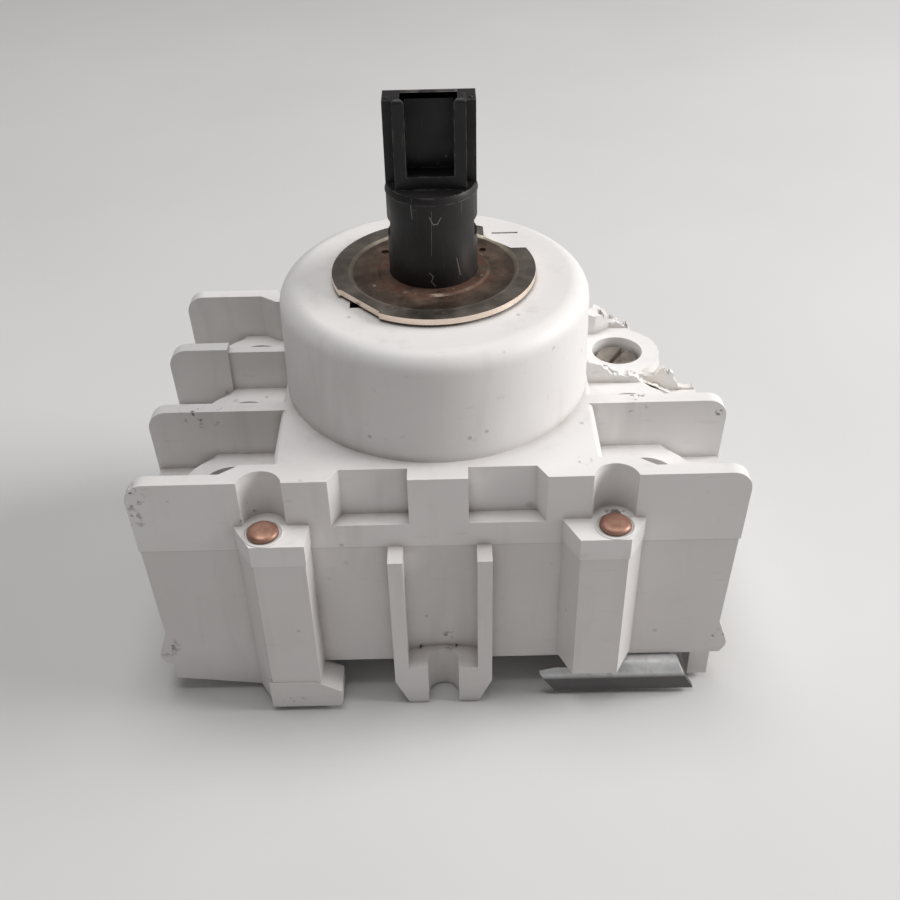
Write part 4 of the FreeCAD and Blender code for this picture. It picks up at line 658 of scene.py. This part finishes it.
def make_shaft(material):
    """The shaft with rounded ears and small burrs along the top of its coupling."""
    work = welded("operating_shaft")
    crown = [edge for edge in work.edges if min(vert.co.z for vert in edge.verts) > SHAFT_TOP * MM]
    bmesh.ops.bevel(work, geom=crown, offset=0.6 * MM, offset_type="OFFSET", segments=3, profile=0.5,
                    affect="EDGES", clamp_overlap=True)
    soften(work, 0.24 * MM)
    stand_in("shaft_moulding", "operating_shaft", "shaft", work, material)
    work = bmesh.new()
    burrs = [(-1.0, 0.25, 86.72, 0.42), (0.1, 0.5, 86.85, 0.5), (0.95, 0.3, 86.74, 0.36),
             (3.6, 0.6, 86.75, 0.3), (-3.9, 0.9, 86.72, 0.35), (5.7, 0.2, 86.7, 0.3), (-5.8, 0.4, 86.68, 0.3)]
    for x, y, z, radius in burrs:
        squat = Matrix.Diagonal((radius * MM, radius * MM, radius * 0.75 * MM, 1))
        turn = Matrix.Translation(Vector((x, y, z)) * MM) @ squat
        made = bmesh.ops.create_icosphere(work, subdivisions=3, radius=1.0, matrix=turn)
        for vert in made["verts"]:
            vert.co += noise.noise_vector(vert.co / MM * 2.2) * 0.09 * MM
    piece = new_piece("shaft_burrs", fresh_mesh("shaft_burrs", work))
    piece.data.materials.append(material)
    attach(piece, "shaft")


def make_plate(material):
    work = welded("retaining_plate")
    soften(work, 0.12 * MM, 25)
    stand_in("plate_pressed", "retaining_plate", "shaft", work, material)


def make_clip(material):
    work = welded("rail_clip")
    soften(work, 0.1 * MM, 30)
    stand_in("clip_bent", "rail_clip", "clip", work, material)


def make_clip_spring(material):
    """The clip's return spring, on a mesh of its own; in the real switch it shortens towards its fixed end as
    the clip is pulled out.
    """
    work = welded("clip_spring")
    spring = stand_in("clip_coil", "clip_spring", "housing", work, material)
    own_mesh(spring)


def make_screws(material):
    for side in ("line", "load"):
        for pole in (1, 2, 3):
            name = f"{side}_screw_{pole}"
            work = welded(name)
            soften(work, 0.1 * MM, 30)
            stand_in(f"{name}_turned", name, f"{side}_clamp_screw_{pole}", work, material)


def finish_inside(materials):
    """Materials of the nodes that keep their CAD shape."""
    for name, node in nodes.items():
        for key, material in materials:
            if key in name:
                node.data.materials.clear()
                node.data.materials.append(material)
                break


def make_floor():
    work = bmesh.new()
    bmesh.ops.create_grid(work, x_segments=8, y_segments=8, size=FLOOR_SIZE)
    for vert in work.verts:
        vert.co.z = -FLOOR_DROP
    mesh = bpy.data.meshes.new("floor")
    work.to_mesh(mesh)
    work.free()
    floor = new_piece("floor", mesh)
    floor.data.materials.append(floor_paper())


place_camera()
add_studio()
make_floor()
# Each mark on a moulding: its centre, its reach, how sparse its specks are, and their grey.
upper_marks = [((-43.6, -27.3, 40.5), 2.6, 0.50, 0.17), ((-43.7, -27.3, 36.5), 2.0, 0.55, 0.25),
               ((43.1, -9.9, 40.5), 0.75, 0.40, 0.04), ((20.9, -23.7, 42.7), 1.2, 0.55, 0.10),
               ((-27.0, -26.5, 36.0), 2.4, 0.58, 0.14), ((25.5, -27.0, 35.2), 2.6, 0.56, 0.16),
               ((30.0, -9.0, 42.7), 3.0, 0.60, 0.25), ((-36.0, -9.0, 42.7), 4.0, 0.60, 0.25)]
# The first four lower marks darken the recessed leg channel: partly settled dirt, partly painted shade of the
# recess.
lower_marks = [((0.8, -25.9, 7.8), 1.1, 0.46, 0.05), ((2.2, -26.1, 7.8), 0.8, 0.45, 0.05),
               ((-3.7, -26.3, 7.8), 0.9, 0.5, 0.07), ((1.4, -26.0, 9.0), 2.4, 0.56, 0.10),
               ((-43.6, -27.0, 10.0), 2.6, 0.55, 0.28), ((-23.0, -31.0, 1.0), 3.0, 0.60, 0.24),
               ((43.5, -27.0, 9.0), 2.6, 0.55, 0.24)]
torn_stubs = [((36.5, 9.0, 35.0), 4.5), ((41.5, 9.0, 32.6), 2.6)]
upper_plastic = moulded_plastic("upper_plastic", (0.82, 0.805, 0.795), (0.765, 0.745, 0.73), upper_marks,
                                0.35, torn=torn_stubs)
# The lower moulding's colours are a little darker than the upper's: partly its own tone, partly painted shade
# over the lower front.
lower_plastic = moulded_plastic("lower_plastic", (0.76, 0.74, 0.73), (0.70, 0.675, 0.66), lower_marks, 0.3,
                                (30.3, 27.4))
black = black_plastic()
zinc_clip = zinc("clip_zinc", (0.84, 0.85, 0.85), (0.62, 0.63, 0.635), (0.16, 0.14, 0.12), 0.3,
                 dark_below=3.9, metal=0.4)
screw_zinc = zinc("screw_zinc", (0.52, 0.47, 0.42), (0.38, 0.335, 0.29), (0.085, 0.055, 0.035), 0.55)
spring_steel = zinc("spring_steel", (0.33, 0.33, 0.34), (0.24, 0.24, 0.25), (0.08, 0.06, 0.05), 0.2)
contact_copper = zinc("contact_copper", (0.60, 0.36, 0.24), (0.46, 0.26, 0.17), (0.12, 0.07, 0.05), 0.3)
inner_black = moulded_plastic("inner_plastic", (0.05, 0.05, 0.052), (0.04, 0.04, 0.042), [], 0.0)
layout = layout_tree()
make_mouldings(upper_plastic, lower_plastic, layout)
make_rivets(copper_rivet(), layout)
make_shaft(black)
make_plate(stained_zinc())
make_clip(zinc_clip)
make_clip_spring(spring_steel)
make_screws(screw_zinc)
finish_inside([("spring", spring_steel), ("cage", zinc_clip), ("_contact_", contact_copper),
               ("screw", screw_zinc), ("cam_disc", inner_black), ("carrier", inner_black),
               ("clip", zinc_clip), ("rivets", screw_zinc), ("plate", screw_zinc), ("shaft", black),
               ("housing", lower_plastic)])
